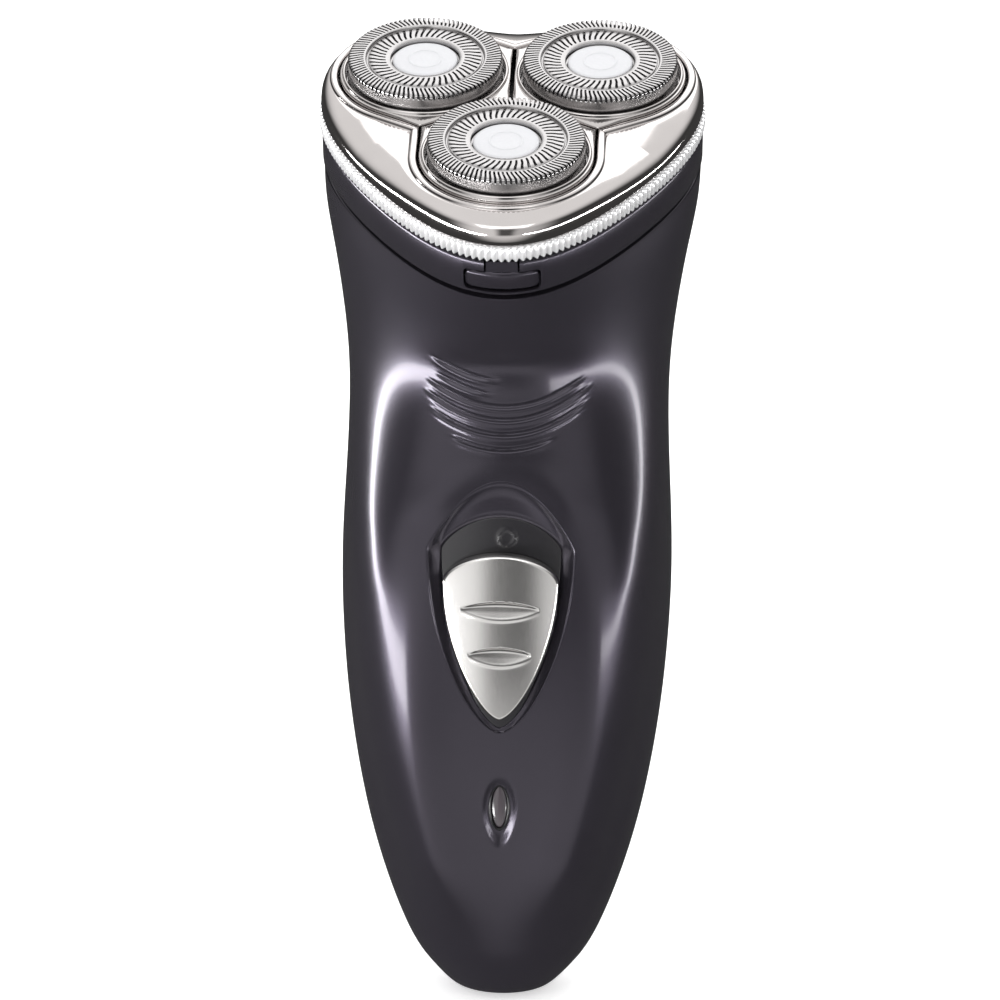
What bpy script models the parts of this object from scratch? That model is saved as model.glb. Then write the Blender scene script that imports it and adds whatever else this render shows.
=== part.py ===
"""A cordless rotary shaver with three floating heads, as an assembly of separate pieces.

+Z runs up the handle and the switch faces -Y. The origin is the middle of the charging inlet, on the flat
bottom end. Every size below is in millimetres, and the helpers turn them into Blender's metres.

The shaving head lies in its own tilted frame: u is +X, v runs to the rear of the head and w out of its top.
Its origin is where the drive axis crosses the joint between the handle and the head.
"""

import math

import bmesh
import bpy
import numpy as np
from mathutils import Matrix, Vector

MM = 0.001

# ---------------------------------------------------------------- driving dimensions

GAP = 0.3  # clearance between pieces that are fixed to each other
WALL = 1.8  # shell wall

# The head's frame and its stack, w = 0 at the joint with the handle
HEAD_TILT = math.radians(23.0)
HEAD_Y, HEAD_Z = 6.5, 131.65
HEAD_HALF_WIDTH = 30.0
HEAD_FRONT, HEAD_REAR = 34.8, 24.0
COLLAR_LOW, COLLAR_HIGH = 0.3, 6.1
BAND_LOW, BAND_HIGH = 6.4, 9.0
PLATE_LOW, PLATE_TOP = 9.2, 13.2
POD_LOW, POD_TOP = 10.9, 14.1
GUARD_TOP = 16.5

# The three shaving heads, on a circle about the drive axis
HEAD_PITCH = 27.4
HEAD_RADIUS = HEAD_PITCH / math.sqrt(3)
POD_RADIUS = 13.45
POD_GAP = 0.5
GUARD_RADIUS = 12.1
GUARD_FLANGE = 12.75
GUARD_SKIN = 0.6
GUARD_FLOAT = 1.2
CAP_RADIUS = 5.1

# Drive
PINION_TEETH, GEAR_TEETH = 12, 18
GEAR_LOW, GEAR_HIGH = -4.5, -1.6
SPINDLE_RADIUS = 1.3
MOTOR_WIDTH, MOTOR_DEPTH = 20.1, 15.1
MOTOR_LOW, MOTOR_HIGH = -27.0, -8.2

# Handle: each station is (front y, front z, rear y, rear z, half width)
STATIONS = (
    (-6.2, 0.0, 6.2, 0.0, 7.0),
    (-8.4, 1.1, 9.0, 1.1, 8.8),
    (-10.8, 3.9, 11.8, 3.9, 11.5),
    (-13.3, 9.0, 14.4, 9.0, 15.0),
    (-15.8, 19.0, 17.2, 19.0, 19.0),
    (-17.8, 31.0, 19.6, 31.0, 22.3),
    (-19.6, 45.0, 21.8, 45.0, 24.7),
    (-20.8, 59.0, 23.6, 59.0, 26.0),
    (-21.2, 72.0, 25.0, 73.0, 26.3),
    (-20.3, 84.0, 26.1, 88.0, 25.7),
    (-18.6, 94.0, 27.0, 102.0, 25.4),
    (-18.7, 101.8, 27.7, 114.4, 26.2),
    (-21.1, 108.9, 28.1, 126.4, 27.9),
    (-23.6, 114.1, 28.3, 134.7, 29.4),
)

# Section outlines, front middle to rear middle: (share of half width, share of depth) every 22.5 degrees
ROUND_SECTION = tuple((math.sin(k * math.pi / 8), (1 - math.cos(k * math.pi / 8)) / 2) for k in range(9))
GRIP_SECTION = (
    (0.0, 0.0), (0.44, 0.014), (0.735, 0.105), (0.925, 0.29), (1.0, 0.53),
    (0.93, 0.745), (0.72, 0.89), (0.39, 0.972), (0.0, 1.0),
)
HEAD_SECTION = (
    (0.0, 0.0), (0.40, 0.10), (0.725, 0.31), (0.935, 0.52), (1.0, 0.695),
    (0.90, 0.865), (0.60, 0.98), (0.28, 1.005), (0.0, 0.995),
)
ROUND_SHARE = (1.0, 1.0, 0.9, 0.75, 0.45, 0.2, 0.05, 0, 0, 0, 0, 0, 0, 0, 0)
HEAD_SHARE = (0, 0, 0, 0, 0, 0, 0, 0, 0, 0.05, 0.18, 0.4, 0.68, 0.9, 1.0)

# Switch and window on the front; a shield is (half width, bottom, shoulder, top, power of its crown's curve)
RECESS_SHIELD = (11.6, 47.8, 77.8, 88.3, 2.0)
BUTTON_SHIELD = (9.0, 50.4, 72.5, 76.9, 1.2)
SWITCH_Z = 64.0  # middle of the sliding button's stem
SWITCH_TRAVEL = 4.5
SWITCH_STEP = 19.2  # depth of the recess floor, measured from the axis
LIGHT_Z = 35.1
LIGHT_HALF_WIDTH, LIGHT_HALF_HEIGHT = 1.8, 4.0

# Trimmer on the back
TRIMMER_AXIS = (25.5, HEAD_Z - 14.65)
TRIMMER_BARREL = 1.9
TRIMMER_TOP = TRIMMER_AXIS[1] + 13.2
TRIMMER_HALF_WIDTH = 13.0

# Hinge of the shaving unit, in the head's frame
HINGE_V, HINGE_W = HEAD_REAR + 1.6, 6.25
HINGE_RADIUS = 1.5

FINISHES = {
    "shell_plastic": ((0.045, 0.043, 0.052), 0.28, 0.0),
    "collar_plastic": ((0.03, 0.029, 0.036), 0.35, 0.0),
    "chrome_plate": ((0.62, 0.59, 0.57), 0.16, 1.0),
    "clear_band": ((0.80, 0.80, 0.80), 0.25, 0.2),
    "guard_steel": ((0.55, 0.54, 0.55), 0.3, 1.0),
    "white_plastic": ((0.86, 0.87, 0.90), 0.4, 0.0),
    "switch_silver": ((0.70, 0.68, 0.66), 0.25, 1.0),
    "inner_plastic": ((0.10, 0.10, 0.11), 0.5, 0.0),
    "gear_nylon": ((0.80, 0.79, 0.74), 0.5, 0.0),
    "brass": ((0.72, 0.55, 0.25), 0.3, 1.0),
    "steel": ((0.60, 0.60, 0.60), 0.3, 1.0),
    "battery_wrap": ((0.05, 0.25, 0.12), 0.4, 0.0),
    "circuit_board": ((0.02, 0.18, 0.07), 0.5, 0.0),
    "light_lens": ((0.10, 0.04, 0.05), 0.15, 0.0),
}

# ---------------------------------------------------------------- helpers


def clear_scene():
    for old in list(bpy.data.objects):
        bpy.data.objects.remove(old, do_unlink=True)


def new_collection(name):
    made = bpy.data.collections.new(name)
    bpy.context.scene.collection.children.link(made)
    return made


def finish(name):
    """The Principled material of that name, made once."""
    if name in bpy.data.materials:
        return bpy.data.materials[name]
    colour, roughness, metallic = FINISHES[name]
    made = bpy.data.materials.new(name)
    made.use_nodes = True
    shader = made.node_tree.nodes["Principled BSDF"]
    shader.inputs["Base Color"].default_value = (*colour, 1.0)
    shader.inputs["Roughness"].default_value = roughness
    shader.inputs["Metallic"].default_value = metallic
    return made


def place(name, data, material, parent=None, at=(0, 0, 0), turn=(0, 0, 0)):
    """A piece of the shaver, or a cutter when material is None."""
    made = bpy.data.objects.new(name, data)
    (PARTS if material else CUTTERS).objects.link(made)
    if material:
        data.materials.clear()
        data.materials.append(finish(material))
    else:
        made.hide_render = True
        made.display_type = "WIRE"
    made.parent = parent
    made.location = Vector(at) * MM
    made.rotation_euler = turn
    return made


def as_mesh(bm, name):
    bmesh.ops.recalc_face_normals(bm, faces=bm.faces)
    data = bpy.data.meshes.new(name)
    bm.to_mesh(data)
    bm.free()
    return data


def box(name, low, high, material=None, parent=None, **where):
    bm = bmesh.new()
    size = [(h - l) * MM for l, h in zip(low, high)]
    middle = [(h + l) / 2 * MM for l, h in zip(low, high)]
    bmesh.ops.create_cube(bm, size=1, matrix=Matrix.Translation(middle) @ Matrix.Diagonal((*size, 1)))
    return place(name, as_mesh(bm, name), material, parent, **where)


def rod(name, radius, low, high, material=None, parent=None, sides=24, **where):
    """A cylinder along the local Z."""
    bm = bmesh.new()
    bmesh.ops.create_cone(
        bm, cap_ends=True, segments=sides, radius1=radius * MM, radius2=radius * MM,
        depth=(high - low) * MM, matrix=Matrix.Translation((0, 0, (high + low) / 2 * MM)),
    )
    return place(name, as_mesh(bm, name), material, parent, **where)


def turned(name, profile, material=None, parent=None, steps=36, **where):
    """A profile of (radius, height), down its outer side and up its inner one, swept about the local Z."""
    data = bpy.data.meshes.new(name)
    count = len(profile)
    points = [(r * MM, 0, z * MM) for r, z in profile]
    data.from_pydata(points, [(k, (k + 1) % count) for k in range(count)], [])
    made = place(name, data, material, parent, **where)
    screw = made.modifiers.new("Turn", "SCREW")
    screw.steps = screw.render_steps = steps
    screw.use_merge_vertices = True
    screw.merge_threshold = 0.00001
    return made


def prism(name, loops, low, high, material=None, parent=None, **where):
    """Flat outlines, the first one the rim and the rest holes, given the height from low to high along Z."""
    curve = bpy.data.curves.new(name, "CURVE")
    curve.dimensions = "2D"
    curve.fill_mode = "BOTH"
    curve.extrude = (high - low) / 2 * MM
    for loop in loops:
        spline = curve.splines.new("POLY")
        spline.points.add(len(loop) - 1)
        for corner, (x, y) in zip(spline.points, loop):
            corner.co = (x * MM, y * MM, 0, 1)
        spline.use_cyclic_u = True
    drawn = bpy.data.objects.new(name + "_outline", curve)
    CUTTERS.objects.link(drawn)
    bpy.context.view_layer.update()
    data = bpy.data.meshes.new_from_object(drawn.evaluated_get(bpy.context.evaluated_depsgraph_get()))
    bpy.data.objects.remove(drawn)
    bm = bmesh.new()
    bm.from_mesh(data)
    bmesh.ops.remove_doubles(bm, verts=bm.verts, dist=0.000001)
    bmesh.ops.translate(bm, verts=bm.verts, vec=(0, 0, (high + low) / 2 * MM))
    bmesh.ops.recalc_face_normals(bm, faces=bm.faces)
    bm.to_mesh(data)
    bm.free()
    data.name = name
    return place(name, data, material, parent, **where)


def tube(rings):
    """A closed solid through successive rings of points, with flat ends, as a mesh's bmesh."""
    bm = bmesh.new()
    rows = [[bm.verts.new(p * MM) for p in ring] for ring in rings]
    count = len(rows[0])
    for below, above in zip(rows, rows[1:]):
        for k in range(count):
            bm.faces.new((below[k], below[k - 1], above[k - 1], above[k]))
    bm.faces.new(rows[0])
    bm.faces.new(rows[-1])
    bmesh.ops.triangulate(bm, faces=bm.faces)
    return bm


def walled(outer, inner, ring=False):
    """The solid wall between two grids of points; a ring grid also joins its last column to its first."""
    bm = bmesh.new()
    grids = [[[bm.verts.new(p * MM) for p in row] for row in grid] for grid in (outer, inner)]
    columns = len(outer[0])
    steps = [(k, (k + 1) % columns) for k in range(columns if ring else columns - 1)]
    for rows in grids:
        for below, above in zip(rows, rows[1:]):
            for a, b in steps:
                bm.faces.new((below[a], below[b], above[b], above[a]))
    for end in (0, -1):
        for a, b in steps:
            bm.faces.new([grids[g][end][k] for g, k in ((0, a), (0, b), (1, b), (1, a))])
        for r in range(0 if ring else len(outer) - 1):
            bm.faces.new([grids[g][row][end] for g, row in ((0, r), (0, r + 1), (1, r + 1), (1, r))])
    bmesh.ops.triangulate(bm, faces=bm.faces)
    return bm


def boolean(piece, operation, *others):
    for other in others:
        step = piece.modifiers.new(operation.title(), "BOOLEAN")
        step.operation = operation
        step.object = other
    return piece


def cut(piece, *cutters):
    return boolean(piece, "DIFFERENCE", *cutters)


def join(piece, *others):
    return boolean(piece, "UNION", *others)


def trim_to(piece, form):
    return boolean(piece, "INTERSECT", form)


def bevel(piece, width, segments=2):
    edge = piece.modifiers.new("Edges", "BEVEL")
    edge.width = width * MM
    edge.segments = segments
    edge.limit_method = "ANGLE"
    edge.angle_limit = math.radians(40)
    return piece


def circle(radius, count=36, at=(0.0, 0.0), start=0.0):
    angles = [start + 2 * math.pi * k / count for k in range(count)]
    return [(at[0] + radius * math.cos(a), at[1] + radius * math.sin(a)) for a in angles]


def oval(half_x, half_y, at, count=20):
    angles = [2 * math.pi * k / count for k in range(count)]
    return [(at[0] + half_x * math.sin(a), at[1] + half_y * math.cos(a)) for a in angles]


def arc(radius, first, last, count, at=(0.0, 0.0)):
    angles = [math.radians(first + (last - first) * k / (count - 1)) for k in range(count)]
    return [(at[0] + radius * math.cos(a), at[1] + radius * math.sin(a)) for a in angles]


def mirrored(half):
    """A closed outline from its +X half, which starts and ends on the Y axis."""
    return half + [(-x, y) for x, y in reversed(half[1:-1])]


def spin(points, degrees):
    c, s = math.cos(math.radians(degrees)), math.sin(math.radians(degrees))
    return [(x * c - y * s, x * s + y * c) for x, y in points]


def natural_spline(values, at):
    """The natural cubic spline through values at 0, 1, 2..., read at each place in at."""
    values = np.asarray(values, float)
    n = len(values)
    system = np.diag(np.full(n, 4.0)) + np.diag(np.ones(n - 1), 1) + np.diag(np.ones(n - 1), -1)
    system[0, :2] = (1, 0)
    system[-1, -2:] = (0, 1)
    right = np.zeros_like(values)
    right[1:-1] = 6 * (values[2:] - 2 * values[1:-1] + values[:-2])
    bend = np.linalg.solve(system, right)
    at = np.asarray(at, float)
    k = np.clip(at.astype(int), 0, n - 2)
    t = (at - k).reshape(-1, *[1] * (values.ndim - 1))
    return (
        values[k] * (1 - t) + values[k + 1] * t
        + (((1 - t) ** 3 - (1 - t)) * bend[k] + (t**3 - t) * bend[k + 1]) / 6
    )


# ---------------------------------------------------------------- the two frames


def to_row(u, v, w):
    """A point of the head's frame in the shaver's."""
    c, s = math.cos(HEAD_TILT), math.sin(HEAD_TILT)
    return Vector((u, HEAD_Y + v * c - w * s, HEAD_Z + v * s + w * c))


def empty(name, parent=None, at=(0, 0, 0), turn=(0, 0, 0)):
    made = bpy.data.objects.new(name, None)
    PARTS.objects.link(made)
    made.parent = parent
    made.location = Vector(at) * MM
    made.rotation_euler = turn
    return made


# ---------------------------------------------------------------- outlines


def all_stations():
    """The handle's stations, with the last one on the joint with the head."""
    front, rear = to_row(0, -HEAD_FRONT, 0), to_row(0, HEAD_REAR, 0)
    return np.array([*STATIONS, (front.y, front.z, rear.y, rear.z, HEAD_HALF_WIDTH - 0.2)])


def section_waves(shares):
    """The sine and cosine waves whose sum runs through a blend of the three sections."""
    rounded, head = shares
    kinds = np.array([ROUND_SECTION, GRIP_SECTION, HEAD_SECTION])
    blend = np.tensordot([rounded, 1 - rounded - head, head], kinds, 1)
    k = np.arange(9)
    sines = 0.25 * np.sin(np.outer(k, k) * math.pi / 8) @ blend[:, 0]
    ends = np.where((k == 0) | (k == 8), 0.5, 1.0)
    cosines = 0.25 * ends * (np.cos(np.outer(k, k) * math.pi / 8) @ (ends * blend[:, 1]))
    return sines, cosines


def section(place_on_handle, angles, inset=0.0):
    """Points of the handle's skin at a station, at angles from the front middle (0) to the rear (pi)."""
    stations = all_stations()
    front_y, front_z, rear_y, rear_z, half = natural_spline(stations, [place_on_handle])[0]
    shares = natural_spline(np.array([ROUND_SHARE, HEAD_SHARE]).T, [place_on_handle])[0]
    sines, cosines = section_waves(shares)
    k = np.arange(9)
    across = np.sin(np.outer(angles, k)) @ sines
    along = np.cos(np.outer(angles, k)) @ cosines
    front, rear = Vector((0, front_y, front_z)), Vector((0, rear_y, rear_z))
    inward = (rear - front).normalized() * inset
    front, rear = front + inward, rear - inward
    return [front.lerp(rear, d) + Vector(((half - inset) * x, 0, 0)) for x, d in zip(across, along)]


def head_outline(inset=0.0, count=40):
    """The head's rounded triangle in (u, v), counted from its front tip, moved inwards along its normals."""
    angles = [2 * math.pi * k / count for k in range(count)]
    sines, cosines = section_waves((0.0, 1.0))
    k = np.arange(9)
    depth = HEAD_FRONT + HEAD_REAR
    u = HEAD_HALF_WIDTH * (np.sin(np.outer(angles, k)) @ sines)
    v = depth * (np.cos(np.outer(angles, k)) @ cosines) - HEAD_FRONT
    du, dv = np.roll(u, -1) - np.roll(u, 1), np.roll(v, -1) - np.roll(v, 1)
    length = np.hypot(du, dv)
    return [(a - inset * dy / l, b + inset * dx / l) for a, b, dx, dy, l in zip(u, v, du, dv, length)]


def pod_outline(clearance=0.0, count=15):
    """One third of the head's top about the front head: a half circle that runs up to the drive axis."""
    radius = POD_RADIUS + clearance
    tip = -(POD_GAP / 2 - clearance) / math.cos(math.radians(30))
    shoulder = tip - radius * math.tan(math.radians(30))
    lobe = arc(radius, 180, 360, count, (0, -HEAD_RADIUS))
    return [*lobe, (radius, shoulder), (0, tip), (-radius, shoulder)]


def three_pods(clearance, count=15):
    """The outline round all three pods, from the notch at the left of the front one."""
    radius = POD_RADIUS + clearance
    notch = (-radius, -radius * math.tan(math.radians(30)))
    lobe = [notch, *arc(radius, 180, 360, count, (0, -HEAD_RADIUS))]
    return [p for k in range(3) for p in spin(lobe, 120 * k)]


def gear_outline(teeth, module, addendum, dedendum, play, turn):
    """An involute outline with four points a tooth, whose first tooth is centred at turn radians."""
    pitch = module * teeth / 2
    base = pitch * math.cos(math.radians(20))

    def flank(radius):
        pressure = math.acos(min(1.0, base / radius))
        return math.tan(pressure) - pressure

    points = []
    for tooth in range(teeth):
        centre = turn + 2 * math.pi * tooth / teeth
        side = []
        for radius in (pitch - dedendum, pitch + addendum):
            half = math.pi / 2 / teeth + flank(pitch) - flank(radius) - play / 2 / pitch
            side.append((radius, half))
        for radius, half in side:
            points.append((radius * math.cos(centre - half), radius * math.sin(centre - half)))
        for radius, half in reversed(side):
            points.append((radius * math.cos(centre + half), radius * math.sin(centre + half)))
    return points


def shield(shape, grow=0.0, count=9):
    """The switch's shield in (x, z): a crown on two shoulders, over sides that run down to a round tip."""
    half_width, bottom, shoulder, top, crown_power = shape
    half_width += grow
    steps = [(k / (count - 1)) ** 1.7 for k in range(count)]
    sides = [
        (half_width * math.sin(t * math.pi / 2) ** 0.6, bottom - grow + (shoulder - bottom + grow) * t)
        for t in steps
    ]
    turns = [k * math.pi / 10 for k in range(1, 6)]
    crown = [
        (half_width * math.cos(a), shoulder + (top + grow - shoulder) * math.sin(a) ** crown_power)
        for a in turns
    ]
    return mirrored(sides + crown)


# ---------------------------------------------------------------- handle shells

SHELL_PLACES = (0, 0.6, 1.2, 2, 3, 4, 5, 6, 7.2, 8.4, 9.4, 10.3, 11.2, 12.1, 13, 14)
INLET_HALF_WIDTH, INLET_HALF_DEPTH = 4.3, 3.1


def handle_form(name, inset=0.0):
    """The whole handle as one closed solid, which other pieces are trimmed to."""
    angles = np.linspace(0, 2 * math.pi, 36, endpoint=False)
    bm = tube([section(p, angles, inset) for p in SHELL_PLACES])
    return place(name, as_mesh(bm, name), None)


def inlet_mouth(angles, height):
    """The hole in the flat end that the inlet's housing stands in."""
    radius = INLET_HALF_DEPTH + 2 * GAP
    flat = INLET_HALF_WIDTH - INLET_HALF_DEPTH
    return [
        Vector((radius * math.sin(a) + flat * min(1, max(-1, 3 * math.sin(a))), -radius * math.cos(a), height))
        for a in angles
    ]


def half_shell(name, side):
    """The front (-1) or rear (1) half of the handle's skin, with its share of the flat end."""
    angles = np.linspace(-math.pi / 2, math.pi / 2, 15) + (math.pi if side > 0 else 0)
    outer = [inlet_mouth(angles, 0)] + [section(p, angles) for p in SHELL_PLACES]
    inner = [inlet_mouth(angles, WALL)] + [section(p, angles, WALL) for p in SHELL_PLACES]
    for row in inner:
        for point in row:
            point.z = max(point.z, WALL)
    for row in outer + inner:
        for edge in (row[0], row[-1]):
            edge.y += side * GAP / 2
    return place(name, as_mesh(walled(outer, inner), name), "shell_plastic")


ALONG_X = (0, math.radians(90), 0)
FACING_FRONT = {"turn": (math.radians(90), 0, 0)}  # a prism drawn in (x, z), whose height runs along -Y


def shell_screw_places():
    return [(-8.5, 14.0), (8.5, 14.0)]


def front_shell(mid_form):
    shell = half_shell("front_shell", -1)
    window = prism("switch_window", [shield(RECESS_SHIELD)], 10, 30, **FACING_FRONT)
    light = prism(
        "light_window", [oval(LIGHT_HALF_WIDTH, LIGHT_HALF_HEIGHT, (0, LIGHT_Z))], 8, 30, **FACING_FRONT
    )
    for k, (x, z) in enumerate(shell_screw_places()):
        post = rod(f"screw_post_{k}", 2.6, -9.0, 20.0, sides=16, at=(x, 0, z), turn=(math.radians(90), 0, 0))
        join(shell, trim_to(post, mid_form))
        hole = rod(f"screw_hole_{k}", 1.1, -11.0, 3.0, sides=12, at=(x, 0, z), turn=(math.radians(90), 0, 0))
        cut(shell, hole)
    return cut(shell, window, light)


def rear_shell():
    shell = half_shell("rear_shell", 1)
    axis_y, axis_z = TRIMMER_AXIS
    window = box(
        "trimmer_window",
        (-TRIMMER_HALF_WIDTH - 0.4, 20, axis_z - TRIMMER_BARREL - 1.0),
        (TRIMMER_HALF_WIDTH + 0.4, 40, TRIMMER_TOP + 0.4),
    )
    slide = box("slide_window", (-3.2, 20, SLIDE_Z - 3.4 - SLIDE_TRAVEL), (3.2, 40, SLIDE_Z + 3.4))
    cut(shell, window, slide)
    for k, (x, z) in enumerate(shell_screw_places()):
        seat = rod(f"screw_seat_{k}", 2.4, -30, -9.6, sides=16, at=(x, 0, z), turn=(math.radians(90), 0, 0))
        cut(shell, seat)
    return shell


def shell_screws():
    for side, (x, z) in zip(("left", "right"), shell_screw_places()):
        turned(
            f"shell_screw_{side}",
            [(0.9, 12.0), (2.0, 12.0), (2.0, 10.2), (0.85, 10.2), (0.85, -2.0), (0, -2.0), (0, 11.2),
             (0.9, 11.2)],
            "steel", steps=12, at=(x, 0, z), turn=(math.radians(-90), 0, 0),
        )


# ---------------------------------------------------------------- switch and charging light


def switch_pieces():
    """The dark plate in the front window, the silver button that slides on it, and what that carries."""
    plug = prism("bezel_plug", [shield(RECESS_SHIELD, -GAP)], SWITCH_STEP - 2.4, SWITCH_STEP, **FACING_FRONT)
    flange = shield(RECESS_SHIELD, 1.6)
    low, high = SWITCH_STEP - 3.3, SWITCH_STEP - 2.3
    bezel = prism("switch_bezel", [flange], low, high, "collar_plastic", **FACING_FRONT)
    slot = box("bezel_slot", (-2.3, -30, SWITCH_Z - 5), (2.3, 0, SWITCH_Z + 5 + SWITCH_TRAVEL))
    cut(join(bezel, plug), slot)
    low, high = SWITCH_STEP + GAP, SWITCH_STEP + 3.4
    button = prism("power_switch", [shield(BUTTON_SHIELD)], low, high, "switch_silver", **FACING_FRONT)
    bevel(button, 0.7)
    stem = box("switch_stem", (-1.9, -low - 1, SWITCH_Z - 4.5), (1.9, -SWITCH_STEP + 3.6, SWITCH_Z + 4.5))
    join(button, stem)
    back = SWITCH_STEP - 3.9
    box("switch_carriage", (-4.5, -back, SWITCH_Z - 6), (4.5, -back + 2.2, SWITCH_Z + 6), "inner_plastic")


def charging_light(form):
    edge = oval(LIGHT_HALF_WIDTH - GAP, LIGHT_HALF_HEIGHT - GAP, (0, LIGHT_Z))
    trim_to(prism("light_lens", [edge], 13.6, 30, "light_lens", **FACING_FRONT), form)
    turned("charge_led", [(0, 13.3), (1.0, 12.6), (1.3, 11.6), (1.3, 10.9), (0, 10.9)], "white_plastic",
           steps=12, at=(0, 0, LIGHT_Z), turn=(math.radians(90), 0, 0))


# ---------------------------------------------------------------- power

BOARD_FRONT, BOARD_THICKNESS = 10.6, 1.2
CELL_RADIUS, CELL_LOW, CELL_HIGH = 7.0, 24.0, 72.0
CELL_X, CELL_Y = 7.3, 5.0


def power_pieces():
    box("circuit_board", (-11, -BOARD_FRONT, 22), (11, -BOARD_FRONT + BOARD_THICKNESS, 88), "circuit_board")
    for side, sign in (("left", -1), ("right", 1)):
        nub = 1.6 if sign < 0 else -1.6
        up = CELL_HIGH if sign < 0 else CELL_LOW
        turned(
            f"battery_{side}",
            [(0, CELL_HIGH + max(nub, 0)), (2.7, CELL_HIGH + max(nub, 0)), (2.7, CELL_HIGH),
             (CELL_RADIUS, CELL_HIGH),
             (CELL_RADIUS, CELL_LOW), (2.7, CELL_LOW), (2.7, CELL_LOW + min(nub, 0)),
             (0, CELL_LOW + min(nub, 0))],
            "battery_wrap", steps=20, at=(sign * CELL_X, CELL_Y, 0),
        )
    box("battery_link", (-11, CELL_Y - 3, CELL_HIGH + 2.0), (11, CELL_Y + 3, CELL_HIGH + 2.4), "steel")
    for side, sign in (("left", -1), ("right", 1)):
        box(
            f"battery_tab_{side}",
            (sign * CELL_X - 3, CELL_Y - 9.5, CELL_LOW - 2.4), (sign * CELL_X + 3, CELL_Y + 3, CELL_LOW - 2.0),
            "steel",
        )


def rounded_slot(half_x, half_y, count=8):
    """A slot with round ends along X."""
    flat = half_x - half_y
    return arc(half_y, -90, 90, count, (flat, 0)) + arc(half_y, 90, 270, count, (-flat, 0))


def charging_inlet():
    housing = prism("inlet_housing", [rounded_slot(4.3, 3.1)], 0.4, 9.4, "inner_plastic")
    cut(housing, prism("inlet_recess", [rounded_slot(3.5, 2.3)], -1.0, 7.6))
    for side, x in (("left", -1.6), ("right", 1.6)):
        cut(housing, rod(f"pin_hole_{side}", 0.8, 5, 12, sides=12, at=(x, 0, 0)))
        rod(f"inlet_pin_{side}", 0.6, 2.0, 12.0, "brass", sides=12, at=(x, 0, 0))


# ---------------------------------------------------------------- drive

GEAR_MODULE = 2 * HEAD_RADIUS / (PINION_TEETH + GEAR_TEETH)
DECK_LOW, DECK_HIGH = -1.0, 0.0
BOSS_TOP, BOSS_BORE = 4.6, 2.6
BRACKET_LOW, BRACKET_HIGH = -6.6, -5.2
SPINDLE_TOP = 10.8


def motor_outline(inset=0.0, count=9):
    """A round can with two flats, which face the front and the rear."""
    radius, flat = MOTOR_WIDTH / 2 - inset, MOTOR_DEPTH / 2 - inset
    edge = math.degrees(math.asin(flat / radius))
    return arc(radius, -edge, edge, count) + arc(radius, 180 - edge, 180 + edge, count)


def motor_pieces(head):
    can = prism("motor_can", [motor_outline()], MOTOR_LOW, MOTOR_HIGH, "steel", head)
    cut(can, prism("motor_bore", [motor_outline(0.8)], MOTOR_LOW - 1, MOTOR_HIGH - 0.8, None, head))
    join(can, rod("motor_neck", 3.0, MOTOR_HIGH - 0.4, MOTOR_HIGH + 0.7, None, head, sides=16))
    cut(can, rod("motor_shaft_hole", 1.5, MOTOR_HIGH - 2, MOTOR_HIGH + 2, None, head, sides=12))
    cap = prism("motor_end_cap", [motor_outline(1.1)], MOTOR_LOW - 0.6, MOTOR_LOW + 1.2, "inner_plastic", head)
    cut(cap, rod("end_cap_bearing", 1.3, MOTOR_LOW - 2, MOTOR_LOW + 2, None, head, sides=12))
    turned(
        "motor_rotor",
        [(0, GEAR_HIGH + 0.3), (1.0, GEAR_HIGH + 0.3), (1.0, MOTOR_HIGH - 2.6), (5.6, MOTOR_HIGH - 2.6),
         (5.6, MOTOR_LOW + 4.6), (1.0, MOTOR_LOW + 4.6), (1.0, MOTOR_LOW - 0.2), (0, MOTOR_LOW - 0.2)],
        "steel", head, steps=12,
    )
    pinion = [gear_teeth(PINION_TEETH, -90), circle(1.15, 12)]
    prism("motor_pinion", pinion, GEAR_LOW, GEAR_HIGH, "brass", head)


def bracket_and_deck(head):
    """The deck that closes the handle under the cutters, and the bracket that carries gears and motor."""
    deck = prism("drive_deck", [head_outline(WALL + 7 * GAP, 36)], DECK_LOW, DECK_HIGH, "inner_plastic", head)
    stop_front = -HEAD_FRONT + 5.5
    low, high = (-2.0, stop_front, DECK_LOW + 0.4), (2.0, stop_front + 1.2, 4.4)
    join(deck, box("release_backstop", low, high, None, head))
    web = [p for k in range(3) for p in spin(arc(4.2, 200, 340, 7, (0, -HEAD_RADIUS)), 120 * k)]
    bracket = prism("gear_bracket", [web, circle(3.4, 16)], BRACKET_LOW, BRACKET_HIGH, "steel", head)
    for k in range(3):
        (x, y), = spin([(0, -HEAD_RADIUS)], 120 * k)
        here = {"parent": head, "at": (x, y, 0)}
        boss = rod(f"deck_boss_{k}", 3.8, DECK_LOW, BOSS_TOP, sides=18, **here)
        bore = rod(f"deck_bore_{k}", BOSS_BORE, DECK_LOW - 2, BOSS_TOP + 2, sides=18, **here)
        cut(join(deck, boss), bore)
        cut(bracket, rod(f"bracket_bore_{k}", 1.6, BRACKET_LOW - 1, BRACKET_HIGH + 1, sides=12, **here))


def gear_teeth(teeth, turn):
    return gear_outline(teeth, GEAR_MODULE, 0.75 * GEAR_MODULE, 1.0 * GEAR_MODULE, 0.16, math.radians(turn))


def spindle_profile():
    """The spindle's shaft, spring flange and drive tip."""
    return [
        (0, SPINDLE_TOP), (0.9, SPINDLE_TOP), (1.5, SPINDLE_TOP - 1.2), (1.5, 4.0), (2.2, 4.0), (2.2, 3.2),
        (SPINDLE_RADIUS, 3.2), (SPINDLE_RADIUS, BRACKET_LOW + 0.3), (0, BRACKET_LOW + 0.3),
    ]


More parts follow.
